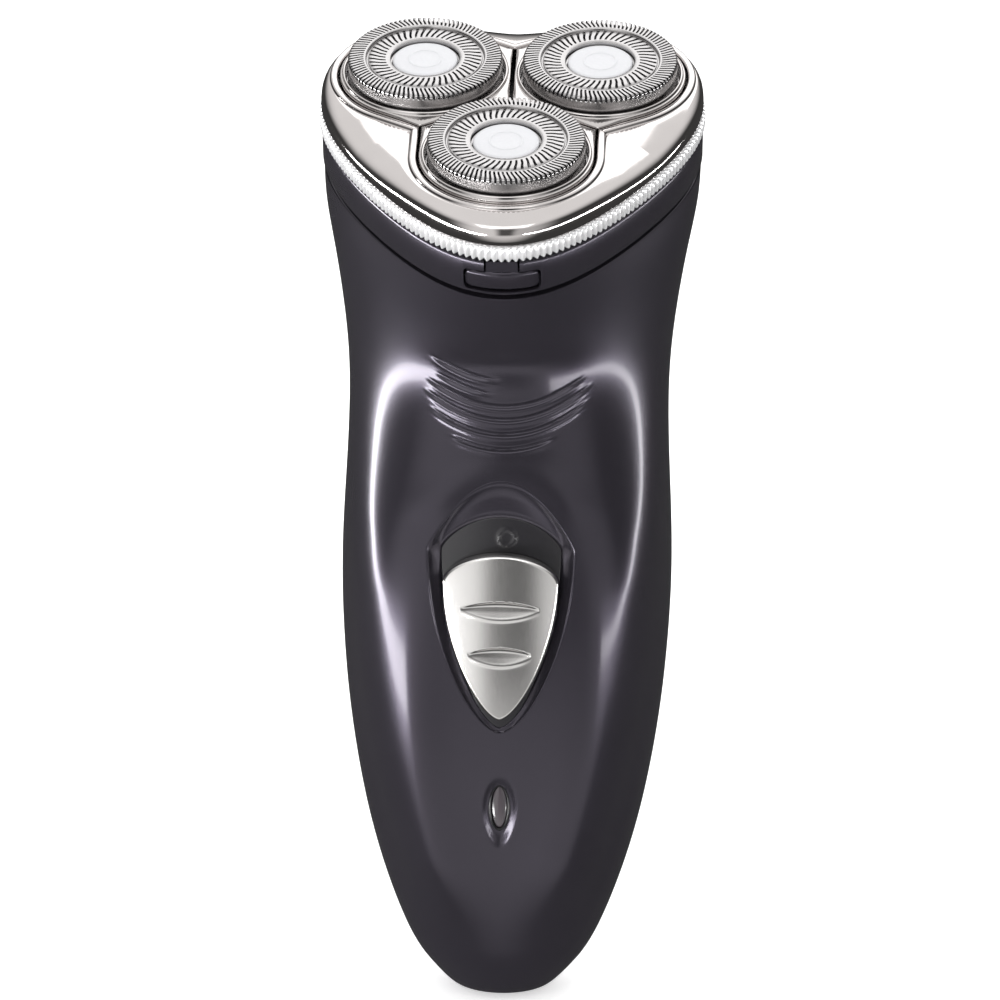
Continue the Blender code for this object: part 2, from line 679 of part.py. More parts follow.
def spring(name, radius, wire, low, high, turns, material, parent, at):
    """A compression spring along the local Z."""
    count = int(turns * 7) + 1
    curve = bpy.data.curves.new(name, "CURVE")
    curve.dimensions = "3D"
    curve.bevel_depth = wire / 2 * MM
    curve.bevel_resolution = 0
    curve.use_fill_caps = True
    line = curve.splines.new("POLY")
    line.points.add(count - 1)
    for k, corner in enumerate(line.points):
        t = k / (count - 1)
        angle = 2 * math.pi * turns * t
        height = low + (high - low) * t
        corner.co = (radius * math.cos(angle) * MM, radius * math.sin(angle) * MM, height * MM, 1)
    return place(name, curve, material, parent, at)


def sector_drive(side, sector):
    """Gear, spindle and spring of one head."""
    centre = (0, -HEAD_RADIUS, 0)
    gear = [gear_teeth(GEAR_TEETH, 90 + 180 / GEAR_TEETH), circle(1.5, 12)]
    prism(f"spindle_gear_{side}", gear, GEAR_LOW, GEAR_HIGH, "gear_nylon", sector, at=centre)
    turned(f"drive_spindle_{side}", spindle_profile(), "inner_plastic", sector, steps=12, at=centre)
    spring(f"spindle_spring_{side}", 1.95, 0.3, GEAR_HIGH + 0.4, 2.8, 3, "steel", sector, centre)


# ---------------------------------------------------------------- shaving heads


def guard_profile():
    """A steel cup: top track, dished middle for the white cap, wall and bottom flange."""
    top, skin, floor = GUARD_TOP, GUARD_SKIN, GUARD_TOP - 1.1
    dish = CAP_RADIUS + 0.25
    return [
        (1.6, floor), (dish, floor), (dish, top), (GUARD_RADIUS - 0.35, top), (GUARD_RADIUS, top - 0.35),
        (GUARD_RADIUS, 12.3), (GUARD_FLANGE, 12.3), (GUARD_FLANGE, 11.7), (GUARD_RADIUS - skin, 11.7),
        (GUARD_RADIUS - skin, top - skin), (dish + skin, top - skin), (dish + skin, floor - skin),
        (1.6, floor - skin),
    ]


def cap_profile():
    """The white disc in the guard's middle, with a stem through it."""
    face = GUARD_TOP - 0.45
    return [
        (0, face), (CAP_RADIUS - 0.3, face), (CAP_RADIUS, face - 0.2), (CAP_RADIUS, face - 0.42),
        (1.3, face - 0.42), (1.3, face - 1.5), (0, face - 1.5),
    ]


def cutter(name, material, parent, at):
    """A rotary cutter: hub with a drive socket, disc and eight upright blades."""
    disc = GUARD_RADIUS - 0.8
    body = turned(
        name,
        [(0, 13.4), (2.8, 13.4), (3.4, 12.6), (3.4, 10.3), (disc, 10.3), (disc, 9.7), (3.4, 9.7), (3.4, 8.1),
         (2.5, 8.1), (2.5, 12.3), (0, 12.3)],
        material, parent, steps=20, at=at,
    )
    blades = 8
    low, high = (CAP_RADIUS + 1.3, -0.45, 9.9), (disc - 0.2, 0.45, GUARD_TOP - GUARD_SKIN - 0.35)
    for k in range(blades):
        turn = (0, 0, 2 * math.pi * k / blades)
        join(body, box(f"{name}_blade_{k}", low, high, None, parent, at=at, turn=turn))
    return body


def pod(name, material, parent):
    """A third of the head's top, bored for its guard and stepped below for the guard's flange."""
    bore = circle(GUARD_RADIUS + 0.45, 28, (0, -HEAD_RADIUS))
    body = prism(name, [pod_outline(), bore], POD_LOW, POD_TOP, material, parent)
    centre = (0, -HEAD_RADIUS, 0)
    step = rod(f"{name}_step", GUARD_FLANGE + 0.25, POD_LOW - 1, 12.5, None, parent, sides=28, at=centre)
    return cut(body, step)


def sector_head(side, sector):
    """Pod, guard, white cap and cutter of one head."""
    centre = (0, -HEAD_RADIUS, 0)
    pod(f"pod_{side}", "chrome_plate", sector)
    turned(f"guard_{side}", guard_profile(), "guard_steel", sector, steps=28, at=centre)
    turned(f"guard_cap_{side}", cap_profile(), "white_plastic", sector, steps=18, at=centre)
    cutter(f"cutter_{side}", "steel", sector, centre)


# ---------------------------------------------------------------- the opening head


def radius_at(outline, angles):
    """How far an outline lies from the drive axis at each angle."""
    points = np.array(outline)
    around = np.arctan2(points[:, 1], points[:, 0])
    order = np.argsort(around)
    return np.interp(angles, around[order], np.hypot(*points[order].T), period=2 * math.pi)


def head_plate(head):
    """The chromed top: a lip round the three pods that slopes and rounds down to the head's outline."""
    count = 48
    angles = [-math.pi / 2 + 2 * math.pi * k / count for k in range(count)]
    lip = radius_at(three_pods(POD_GAP / 2 + 0.1, 31), angles)
    lip_outer = radius_at(three_pods(1.7, 31), angles)
    rim = radius_at(head_outline(0.0, 144), angles)
    thick = 1.0
    # (share of the way from the lip to the rim, height, how far inside and below it the underside runs)
    ways = (
        (1.0, PLATE_LOW, thick, 0), (0.97, PLATE_TOP - 2.1, thick, thick * 0.5),
        (0.83, PLATE_TOP - 1.2, thick, thick), (0.45, PLATE_TOP - 0.5, thick * 0.4, thick),
        (0.0, PLATE_TOP, 0, thick),
    )
    outer = [(lip_outer + (rim - lip_outer) * share, w) for share, w, _, _ in ways]
    inner = [(radii - a, w - b) for (radii, w), (_, _, a, b) in zip(outer, ways)]
    outer.append((lip, PLATE_TOP))
    inner.append((lip, PLATE_TOP - thick))
    grids = [
        [[Vector((r * math.cos(a), r * math.sin(a), w)) for r, a in zip(radii, angles)] for radii, w in rings]
        for rings in (outer, inner)
    ]
    return place("head_plate", as_mesh(walled(*grids, ring=True), "head_plate"), "chrome_plate", head)


def hinge_knuckle(name, half_low, half_high, material, head):
    """A short barrel round the hinge pin, along u."""
    return prism(
        name, [circle(HINGE_RADIUS, 14), circle(0.75, 10)], half_low, half_high, material, head,
        at=(0, HINGE_V, HINGE_W), turn=ALONG_X,
    )


def shaving_unit(head):
    """The frame, toothed band and retaining frame that lift with the head plate."""
    loops = [head_outline(-0.3), head_outline(1.5)]
    band = prism("serrated_band", loops, BAND_LOW, BAND_HIGH, "clear_band", head)
    low, high = (-8.2, HEAD_REAR - 4, BAND_LOW - 1), (8.2, HEAD_REAR + 3, BAND_HIGH + 1)
    cut(band, box("band_notch", low, high, None, head))
    holes = [circle(12.0, 24, spin([(0, -HEAD_RADIUS)], 120 * k)[0]) for k in range(3)]
    frame = prism("pod_frame", [head_outline(1.9, 36), *holes], 8.0, 9.5, "inner_plastic", head)
    knuckle = hinge_knuckle("unit_knuckle", -4.4, 4.4, None, head)
    arm = box("knuckle_arm", (-4.4, HEAD_REAR - 3.4, 7.6), (4.4, HINGE_V, 8.8), None, head)
    drop = box("knuckle_drop", (-4.4, HINGE_V - 0.9, HINGE_W + 0.9), (4.4, HINGE_V + 1.2, 8.8), None, head)
    join(frame, arm, drop, knuckle)
    latch = box("unit_latch", (-1.6, -HEAD_FRONT + 3.5, 4.4), (1.6, -HEAD_FRONT + 4.7, 8.6), None, head)
    join(frame, latch)
    rod("hinge_pin", 0.6, -8.6, 8.6, "steel", head, sides=10, at=(0, HINGE_V, HINGE_W), turn=ALONG_X)


def retaining_frame(head):
    """Three rings on a hub that keep the cutters in the opened head, held by a quarter-turn knob."""
    body = prism("retaining_frame", [circle(7.6, 24), circle(2.6, 16)], 5.1, 6.3, "inner_plastic", head)
    for k in range(3):
        centre = spin([(0, -HEAD_RADIUS)], 120 * k)[0]
        loops = [circle(9.4, 24, centre), circle(7.4, 24, centre)]
        ring = prism(f"retaining_ring_{k}", loops, 5.1, 6.3, None, head)
        clear = rod(f"retaining_clear_{k}", 7.3, 4, 8, None, head, sides=24, at=(*centre, 0))
        foot = spin([(0, -6.4)], 120 * k + 60)[0]
        post = rod(f"retaining_post_{k}", 1.0, 5.6, 7.7, None, head, sides=8, at=(*foot, 0))
        join(cut(join(body, ring), clear), post)
    side = [(0, 7.2), (2.3, 7.2), (2.3, 4.8), (0, 4.8)]
    knob = turned("retaining_knob", side, "inner_plastic", head, steps=16)
    join(knob, box("knob_wing", (-0.6, -3.9, 3.4), (0.6, 3.9, 4.9), None, head))


def collar(head):
    """The dark ring on the handle that the head closes onto, with the window of the release button."""
    loops = [head_outline(0.0), head_outline(1.8)]
    ring = prism("collar", loops, COLLAR_LOW, COLLAR_HIGH, "collar_plastic", head)
    for k, (low, high) in enumerate(((-7.8, -4.8), (4.8, 7.8))):
        ear = hinge_knuckle(f"collar_ear_{k}", low, high, None, head)
        foot_low, foot_high = (low, HEAD_REAR - 1.5, HINGE_W - 2.6), (high, HINGE_V + 0.9, HINGE_W - 0.9)
        join(ring, box(f"collar_foot_{k}", foot_low, foot_high, None, head), ear)
    wide = box("button_window", (-5.9, -HEAD_FRONT - 2, 0.9), (5.9, -HEAD_FRONT + 6, 4.5), None, head)
    tall = box("tab_window", (-2.7, -HEAD_FRONT - 2, 2.0), (2.7, -HEAD_FRONT + 6, COLLAR_HIGH + 2), None, head)
    cut(ring, wide, tall)


def release_button(head):
    """The push button that lets the head spring open: a wide bar with a narrow tab above it."""
    out, back = -HEAD_FRONT - 2, -HEAD_FRONT + 2.2
    button = box("release_button", (-5.6, out, 1.2), (5.6, back, 4.2), "collar_plastic", head)
    join(button, box("release_tab", (-2.4, out, 3.0), (2.4, back, COLLAR_HIGH), None, head))
    trim_to(button, prism("release_form", [head_outline(-0.25)], 0, 10, None, head))
    coil = spring("release_spring", 1.1, 0.3, 0, 2.6, 3, "steel", head, (0, -HEAD_FRONT + 2.5, 2.7))
    coil.rotation_euler = (math.radians(-90), 0, 0)


# ---------------------------------------------------------------- trimmer

SLIDE_Z, SLIDE_TRAVEL = TRIMMER_AXIS[1] - 16.0, 2.5
WELL_V = 9.1  # lower plane of the well's back wall in the head's frame, just behind the motor
WELL_Y = 22.0  # its upper plane, behind the gears


def well_view(grow, low, high):
    """The well's outline in (y, z): its back wall leans along the motor, then stands upright."""
    c, s = math.cos(HEAD_TILT), math.sin(HEAD_TILT)
    lean = [
        (HEAD_Y + (WELL_V - (z - HEAD_Z) * s) / c - grow, z)
        for z in (low, HEAD_Z - ((WELL_Y - HEAD_Y) * c - WELL_V) / s)
    ]
    return [lean[0], (60, low), (60, high), (WELL_Y - grow, high), lean[1]]


def trimmer_pieces(form, inner_form):
    axis_y, axis_z = TRIMMER_AXIS
    low, high = axis_z - TRIMMER_BARREL - 1.0, TRIMMER_TOP + 0.4
    half = TRIMMER_HALF_WIDTH + 0.4
    sideways = {"turn": (math.radians(90), 0, math.radians(90))}
    wall = 1.0

    view = well_view(wall, low - wall, high + wall)
    well = prism("trimmer_well", [view], -half - wall, half + wall, "inner_plastic", **sideways)
    trim_to(well, inner_form)
    cut(well, prism("well_space", [well_view(0, low, high)], -half, half, **sideways))

    face = axis_y - 0.4
    door = prism(
        "trimmer_door", [[(face, axis_z), (60, axis_z), (60, TRIMMER_TOP), (face, TRIMMER_TOP)]],
        -TRIMMER_HALF_WIDTH, TRIMMER_HALF_WIDTH, "shell_plastic", **sideways,
    )
    on_axis = {"at": (0, axis_y, axis_z), "turn": ALONG_X}
    half_barrel = TRIMMER_HALF_WIDTH
    join(door, rod("door_barrel", TRIMMER_BARREL, -half_barrel, half_barrel, sides=20, **on_axis))
    trim_to(door, form)
    cut(door, rod("door_bore", 0.8, -20, 20, sides=10, **on_axis))
    rod("trimmer_pin", 0.6, -half + 0.2, half - 0.2, "steel", sides=10, **on_axis)

    comb_y = axis_y - 0.8
    for name, reach, depth, teeth, top in (
        ("trimmer_comb", TRIMMER_HALF_WIDTH - 1.4, 0.0, 12, TRIMMER_TOP - 0.2),
        ("trimmer_blade", TRIMMER_HALF_WIDTH - 2.6, 1.0, 8, TRIMMER_TOP - 0.8),
    ):
        base = top - 4.6
        outline = [(-reach, base), (reach, base)]
        pitch = 2 * reach / teeth
        for k in range(teeth):
            right = reach - k * pitch
            root, tip = top - 1.6, top
            outline += [(right - a * pitch, z) for a, z in ((0, root), (0.25, tip), (0.6, tip), (0.85, root))]
        prism(name, [outline], -comb_y + depth, -comb_y + depth + 0.6, "steel", **FACING_FRONT)
    slide = box("trimmer_slide", (-2.9, 23.4, SLIDE_Z - 3.0), (2.9, 28.0, SLIDE_Z + 3.0), "collar_plastic")
    bevel(slide, 0.5)
    join(slide, box("slide_foot", (-4.4, 22.4, SLIDE_Z - 4.4), (4.4, 24.0, SLIDE_Z + 4.4)))


# ---------------------------------------------------------------- assembly

clear_scene()
PARTS = new_collection("electric_shaver")
CUTTERS = new_collection("cutters")

head_axis = empty("head_axis", at=(0, HEAD_Y, HEAD_Z), turn=(HEAD_TILT, 0, 0))
handle = handle_form("handle_form")
handle_inside = handle_form("handle_inside", inset=WALL + GAP)

front_shell(handle_form("handle_middle", inset=WALL / 2))
rear_shell()
shell_screws()
switch_pieces()
charging_light(handle)
power_pieces()
charging_inlet()
motor_pieces(head_axis)
bracket_and_deck(head_axis)
for number, side in enumerate(("front", "right", "left")):
    sector = empty(f"sector_{side}", head_axis, turn=(0, 0, math.radians(120 * number)))
    sector_drive(side, sector)
    sector_head(side, sector)
head_plate(head_axis)
shaving_unit(head_axis)
retaining_frame(head_axis)
collar(head_axis)
release_button(head_axis)
trimmer_pieces(handle, handle_inside)
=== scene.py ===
import math

import bmesh
import bpy
import numpy as np
from mathutils import Matrix, Vector
from mathutils.bvhtree import BVHTree


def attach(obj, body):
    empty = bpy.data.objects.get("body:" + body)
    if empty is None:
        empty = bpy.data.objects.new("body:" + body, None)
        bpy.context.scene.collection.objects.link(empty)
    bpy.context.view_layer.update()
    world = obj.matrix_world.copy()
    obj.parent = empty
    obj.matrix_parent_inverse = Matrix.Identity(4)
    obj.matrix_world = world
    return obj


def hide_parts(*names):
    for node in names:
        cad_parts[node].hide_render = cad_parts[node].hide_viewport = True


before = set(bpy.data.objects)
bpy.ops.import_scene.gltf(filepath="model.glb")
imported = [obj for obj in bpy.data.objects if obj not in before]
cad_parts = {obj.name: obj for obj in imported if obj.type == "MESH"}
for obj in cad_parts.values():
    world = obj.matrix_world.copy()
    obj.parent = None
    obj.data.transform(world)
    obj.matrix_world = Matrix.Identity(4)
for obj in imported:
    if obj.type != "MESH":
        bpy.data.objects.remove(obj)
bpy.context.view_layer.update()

# ---- Camera, lights and sweep
# The shaver stands upright and is seen from a little above its switch. A pale sweep runs under and
# behind it, a large soft light hangs over the front, and two upright strips draw the handle's edges.

MM = 0.001
scene = bpy.context.scene
scene.view_settings.view_transform = "Standard"

CAMERA_TURN, CAMERA_RISE, CAMERA_ROLL = 2.26, 14.0, 0.53
CAMERA_DISTANCE = 0.7
LOOK_AT = Vector((0, 0, 75.9)) * MM
LIGHTS_AIM = Vector((0, 0, 0.085))


def heading(turn, rise):
    """The direction at those degrees round from the front, towards +X, and above the horizon."""
    a, e = math.radians(turn), math.radians(rise)
    return Vector((math.sin(a) * math.cos(e), -math.cos(a) * math.cos(e), math.sin(e)))


camera_data = bpy.data.cameras.new("studio_camera")
camera_data.sensor_width = 36.0
camera_data.lens = 158.7
camera_data.shift_x, camera_data.shift_y = -0.0064, 0.028
camera_data.clip_start, camera_data.clip_end = 0.05, 20.0
camera = bpy.data.objects.new("studio_camera", camera_data)
scene.collection.objects.link(camera)
towards_camera = heading(CAMERA_TURN, CAMERA_RISE)
upright = (-towards_camera).to_track_quat("-Z", "Y")
camera.rotation_mode = "QUATERNION"
camera.rotation_quaternion = upright @ Matrix.Rotation(math.radians(CAMERA_ROLL), 3, "Z").to_quaternion()
camera.location = LOOK_AT + towards_camera * CAMERA_DISTANCE
scene.camera = camera


def soft_light(name, turn, rise, distance, size, radiance):
    """A rectangular soft light of that size and radiance, which stands on a heading and faces the shaver."""
    place = heading(turn, rise) * distance + LIGHTS_AIM
    data = bpy.data.lights.new(name, "AREA")
    data.shape = "RECTANGLE"
    data.size, data.size_y = size
    data.energy = radiance * math.pi * size[0] * size[1]
    light = bpy.data.objects.new(name, data)
    light.location = place
    light.rotation_mode = "QUATERNION"
    light.rotation_quaternion = (LIGHTS_AIM - place).to_track_quat("-Z", "Z")
    light.visible_camera = False
    scene.collection.objects.link(light)


soft_light("left_strip", -71, -14, 0.95, (0.12, 1.9), 24.0)
soft_light("right_strip", 75, -14, 0.95, (0.06, 1.9), 16.0)
soft_light("front_top", 0, 46, 1.0, (0.8, 0.35), 1.2)
soft_light("rear_top", 170, 55, 1.1, (0.8, 0.5), 1.0)


def operator(operation, swapped=False):
    """The method of one arithmetic sign: it adds a Math node."""
    return lambda self, other: self.joined(operation, *((other, self) if swapped else (self, other)))


class Signal:
    """A socket that takes part in sums: each sign adds its Math node."""

    def __init__(self, tree, socket):
        self.tree, self.socket = tree, socket

    def joined(self, operation, *terms):
        node = self.tree.nodes.new("ShaderNodeMath")
        node.operation = operation
        for socket, value in zip(node.inputs, terms):
            feed(self.tree, socket, value)
        return Signal(self.tree, node.outputs[0])

    __add__, __radd__ = operator("ADD"), operator("ADD", True)
    __sub__, __rsub__ = operator("SUBTRACT"), operator("SUBTRACT", True)
    __mul__, __rmul__ = operator("MULTIPLY"), operator("MULTIPLY", True)
    __truediv__ = operator("DIVIDE")

    def __abs__(self):
        return self.joined("SIGN", self) * self

    def more_than(self, edge, soft):
        """0 below edge, 1 above edge + soft, and smooth between."""
        node = self.tree.nodes.new("ShaderNodeMapRange")
        node.interpolation_type = "SMOOTHSTEP"
        for socket, value in zip(node.inputs, (self, edge, edge + soft, 0.0, 1.0)):
            feed(self.tree, socket, value)
        return Signal(self.tree, node.outputs[0])


def feed(tree, socket, value):
    """Links a signal into a socket, or sets the socket's own value."""
    if isinstance(value, Signal):
        tree.links.new(value.socket, socket)
    elif isinstance(value, (tuple, list)) and socket.type == "RGBA" and len(value) == 3:
        socket.default_value = (*value, 1.0)
    else:
        socket.default_value = value


class Shading:
    """A tree of shader nodes."""

    def __init__(self, tree):
        self.tree = tree

    def node(self, kind, settings, values, output=0):
        """One node: its settings, then what its sockets hold or are linked to."""
        made = self.tree.nodes.new("ShaderNode" + kind)
        for name, value in settings.items():
            setattr(made, name, value)
        for name, value in values.items():
            feed(self.tree, made.inputs[name], value)
        return Signal(self.tree, made.outputs[output])

    def mix(self, share, first, second):
        return self.node("Mix", {"data_type": "RGBA"}, {0: share, 6: first, 7: second}, 2)

    def place(self, kind="Object"):
        return self.node("TexCoord", {}, {}, kind)

    def noise(self, where, scale, detail=2.0, roughness=0.5):
        return self.node("TexNoise", {}, {
            "Vector": where, "Scale": scale, "Detail": detail, "Roughness": roughness,
        })

    def stretched(self, where, scale):
        return self.node("VectorMath", {"operation": "MULTIPLY"}, {0: where, 1: scale})

    def part(self, where, axis):
        return self.node("SeparateXYZ", {}, {"Vector": where}, axis)


class Finish(Shading):
    """A Principled material. Sockets named here with _ for a space take a number or a signal."""

    def __init__(self, name, **values):
        self.material = bpy.data.materials.new(name)
        self.material.use_nodes = True
        super().__init__(self.material.node_tree)
        self.surface = self.tree.nodes["Principled BSDF"]
        self.set(**values)

    def set(self, **values):
        for name, value in values.items():
            feed(self.tree, self.surface.inputs[name.replace("_", " ")], value)

    def bump(self, height, depth_mm, strength=1.0):
        """Raises the surface by a height signal times a depth in millimetres."""
        self.set(Normal=self.node("Bump", {}, {
            "Strength": strength, "Distance": depth_mm * MM, "Height": height,
        }))


def grained(name, low, high, rough, rougher, scale, detail, depth_mm, strength, **values):
    """A finish with one fine grain in its colour, its gloss and its surface."""
    made = Finish(name, **values)
    grain = made.noise(made.place(), scale, detail)
    made.set(Base_Color=made.mix(grain, low, high), Roughness=rough + grain * rougher)
    made.bump(grain, depth_mm, strength)
    return made


world = bpy.data.worlds.new("studio")
world.use_nodes = True
scene.world = world
sky = Shading(world.node_tree)
direction = sky.place("Generated")
forward = 0.0 - sky.part(direction, "Y")
upward = sky.part(direction, "Z")
sideways = sky.part(direction, "X")
ahead = forward.more_than(0.45, 0.4)
table_glow = (0.0 - upward).more_than(0.30, 0.22)
left_glow, right_glow = (0.0 - sideways).more_than(0.03, 0.2), sideways.more_than(0.13, 0.2)
front_glow = ahead * (0.05 + table_glow * 0.74 + (1.0 - table_glow) * (left_glow * 0.80 + right_glow * 0.5))
top_glow = upward.more_than(0.30, 0.55) * 0.95
backdrop = world.node_tree.nodes["Background"].inputs
feed(world.node_tree, backdrop["Strength"], 0.055 + front_glow + top_glow)
feed(world.node_tree, backdrop["Color"], (1.0, 0.99, 0.985))


def sweep_mesh(width=16.0, front=-10.0, rear=1.0, bend=0.8, height=3.0):
    """The paper, in metres: flat on the table, then up the wall behind it through a round bend."""
    bm = bmesh.new()
    line = [(front, 0.0), (rear, 0.0)]
    line += [(rear + bend * math.sin(a), bend * (1 - math.cos(a))) for a in np.linspace(0.1, math.pi / 2, 12)]
    line.append((rear + bend, height))
    rows = [[bm.verts.new((x, y, z)) for x in (-width / 2, width / 2)] for y, z in line]
    for low, high in zip(rows, rows[1:]):
        bm.faces.new((low[0], low[1], high[1], high[0]))
    for face in bm.faces:
        face.smooth = True
    data = bpy.data.meshes.new("sweep")
    bm.to_mesh(data)
    bm.free()
    return data


paper = Finish("sweep_paper", Roughness=0.9, Emission_Strength=1.0)
fibres = paper.noise(paper.place(), 900.0, 4.0)
paper.set(Base_Color=paper.mix(fibres, (0.90, 0.90, 0.90), (0.94, 0.94, 0.94)),
          Emission_Color=(0.55, 0.55, 0.55))
paper.bump(fibres, 0.03, 0.3)
sweep = bpy.data.objects.new("sweep", sweep_mesh())
sweep.data.materials.append(paper.material)
sweep.location.z = -0.4 * MM
sweep.visible_glossy = False
sweep.visible_shadow = False
scene.collection.objects.link(sweep)

# ---- Handle shells
# Two glossy charcoal mouldings, split down the sides, that screw together behind the inlet. The front
# one has a flatter face between two soft creases, a ribbed thumb rest, and holes for switch and light.

TILT = math.radians(23.0)
HEAD_Y, HEAD_Z = 6.5, 131.65
HEAD_HALF_WIDTH, HEAD_FRONT, HEAD_REAR = 30.0, 34.8, 24.0
SHELL_WALL = 1.8


def from_head(u, v, w):
    """Points of the head's tilted frame, in the shaver's, in millimetres."""
    u, v, w = np.broadcast_arrays(*[np.asarray(q, float) for q in (u, v, w)])
    c, s = math.cos(TILT), math.sin(TILT)
    return np.stack([u, HEAD_Y + v * c - w * s, HEAD_Z + v * s + w * c], -1)


# front y and z, rear y and z, half width at each station from the flat end to the joint with the head
STATIONS = np.array([
    (-6.2, 0.0, 6.2, 0.0, 7.0), (-8.4, 1.1, 9.0, 1.1, 8.8), (-10.8, 3.9, 11.8, 3.9, 11.5),
    (-13.3, 9.0, 14.4, 9.0, 15.0), (-15.8, 19.0, 17.2, 19.0, 19.0), (-17.8, 31.0, 19.6, 31.0, 22.3),
    (-19.6, 45.0, 21.8, 45.0, 24.7), (-20.8, 59.0, 23.6, 59.0, 26.0), (-21.2, 72.0, 25.0, 73.0, 26.3),
    (-20.3, 84.0, 26.1, 88.0, 25.7), (-18.6, 94.0, 27.0, 102.0, 25.4), (-18.7, 101.8, 27.7, 114.4, 26.2),
    (-21.1, 108.9, 28.1, 126.4, 27.9), (-23.6, 114.1, 28.3, 134.7, 29.4),
    (*from_head(0, -HEAD_FRONT, 0)[1:], *from_head(0, HEAD_REAR, 0)[1:], HEAD_HALF_WIDTH - 0.2),
])
# outlines from the front middle to the rear middle: share of half width, share of depth
ROUND_SECTION = [(math.sin(k * math.pi / 8), (1 - math.cos(k * math.pi / 8)) / 2) for k in range(9)]
GRIP_SECTION = [
    (0.0, 0.0), (0.44, 0.014), (0.735, 0.105), (0.925, 0.29), (1.0, 0.53),
    (0.93, 0.745), (0.72, 0.89), (0.39, 0.972), (0.0, 1.0),
]
HEAD_SECTION = [
    (0.0, 0.0), (0.40, 0.10), (0.725, 0.31), (0.935, 0.52), (1.0, 0.695),
    (0.90, 0.865), (0.60, 0.98), (0.28, 1.005), (0.0, 0.995),
]
ROUND_SHARE = (1.0, 1.0, 0.9, 0.75, 0.45, 0.2, 0.05, 0, 0, 0, 0, 0, 0, 0, 0)
HEAD_SHARE = (0, 0, 0, 0, 0, 0, 0, 0, 0, 0.05, 0.18, 0.4, 0.68, 0.9, 1.0)
WAVES = np.arange(9)


def natural_spline(values, at):
    """The natural cubic spline through values at 0, 1, 2..., read at each place in at."""
    values = np.asarray(values, float)
    n = len(values)
    system = np.diag(np.full(n, 4.0)) + np.diag(np.ones(n - 1), 1) + np.diag(np.ones(n - 1), -1)
    system[0, :2] = (1, 0)
    system[-1, -2:] = (0, 1)
    right = np.zeros_like(values)
    right[1:-1] = 6 * (values[2:] - 2 * values[1:-1] + values[:-2])
    bend = np.linalg.solve(system, right)
    at = np.asarray(at, float)
    k = np.clip(at.astype(int), 0, n - 2)
    t = (at - k).reshape(-1, *[1] * (values.ndim - 1))
    return (
        values[k] * (1 - t) + values[k + 1] * t
        + (((1 - t) ** 3 - (1 - t)) * bend[k] + (t**3 - t) * bend[k + 1]) / 6
    )


def section_waves(rounded, head):
    """The sine and cosine waves whose sum runs through a blend of the three outlines."""
    kinds = np.array([ROUND_SECTION, GRIP_SECTION, HEAD_SECTION])
    blend = np.tensordot([rounded, 1 - rounded - head, head], kinds, 1)
    sines = 0.25 * np.sin(np.outer(WAVES, WAVES) * math.pi / 8) @ blend[:, 0]
    ends = np.where((WAVES == 0) | (WAVES == 8), 0.5, 1.0)
    cosines = 0.25 * ends * (np.cos(np.outer(WAVES, WAVES) * math.pi / 8) @ (ends * blend[:, 1]))
    return sines, cosines


def skin(places, angles, inset=0.0):
    """The handle's skin: a grid of points at station places and at angles from the front middle."""
    sections = natural_spline(STATIONS, places)
    shares = natural_spline(np.array([ROUND_SHARE, HEAD_SHARE]).T, places)
    rows = []
    for (front_y, front_z, rear_y, rear_z, half), share in zip(sections, shares):
        sines, cosines = section_waves(*share)
        across = np.sin(np.outer(angles, WAVES)) @ sines
        along = (np.cos(np.outer(angles, WAVES)) @ cosines)[:, None]
        front, rear = np.array((0, front_y, front_z)), np.array((0, rear_y, rear_z))
        inward = (rear - front) / np.linalg.norm(rear - front) * inset
        row = (front + inward) * (1 - along) + (rear - inward) * along
        row[:, 0] += (half - inset) * across
        rows.append(row)
    return np.array(rows)


def grid_normals(grid):
    """Unit normals of a grid of points, its first axis up the handle and its second round it."""
    up, round_ = np.gradient(grid, axis=0), np.gradient(grid, axis=1)
    normals = np.cross(round_, up)
    return normals / np.maximum(np.linalg.norm(normals, axis=-1, keepdims=True), 1e-9)


def mesh_of(name, points, faces, smooth=True):
    """A mesh from points in millimetres."""
    data = bpy.data.meshes.new(name)
    data.from_pydata((np.asarray(points, float).reshape(-1, 3) * MM).tolist(), [], faces)
    data.update()
    bm = bmesh.new()
    bm.from_mesh(data)
    bmesh.ops.remove_doubles(bm, verts=bm.verts, dist=1e-7)
    bmesh.ops.recalc_face_normals(bm, faces=bm.faces)
    if bm.calc_volume(signed=True) < 0:
        bmesh.ops.reverse_faces(bm, faces=bm.faces)
    bm.to_mesh(data)
    bm.free()
    if smooth:
        data.shade_smooth()
    return data


def grid_faces(rows, columns, start=0, ring=False, turned=False):
    """Four-sided faces of a grid of points, row by row."""
    k = np.arange(rows * columns).reshape(rows, columns) + start
    right = np.roll(k, -1, 1) if ring else k[:, 1:]
    left = k if ring else k[:, :-1]
    faces = np.stack([left[:-1], right[:-1], right[1:], left[1:]], -1).reshape(-1, 4)
    return (faces[:, ::-1] if turned else faces).tolist()


def walled_mesh(name, outer, inner, ring=False):
    """The closed wall between two grids of the same size; a ring joins its last column to its first."""
    rows, columns = outer.shape[:2]
    count = rows * columns
    faces = grid_faces(rows, columns, 0, ring) + grid_faces(rows, columns, count, ring, True)
    k = np.arange(count).reshape(rows, columns)
    for row, flip in ((k[0], True), (k[-1], False)):
        after = np.roll(row, -1) if ring else row[1:]
        here = row if ring else row[:-1]
        side = np.stack([here, after, after + count, here + count], -1)
        faces += (side[:, ::-1] if flip else side).tolist()
    if not ring:
        for column, flip in ((k[:, 0], False), (k[:, -1], True)):
            side = np.stack([column[:-1], column[1:], column[1:] + count, column[:-1] + count], -1)
            faces += (side[:, ::-1] if flip else side).tolist()
    return mesh_of(name, np.concatenate([outer.reshape(-1, 3), inner.reshape(-1, 3)]), faces)


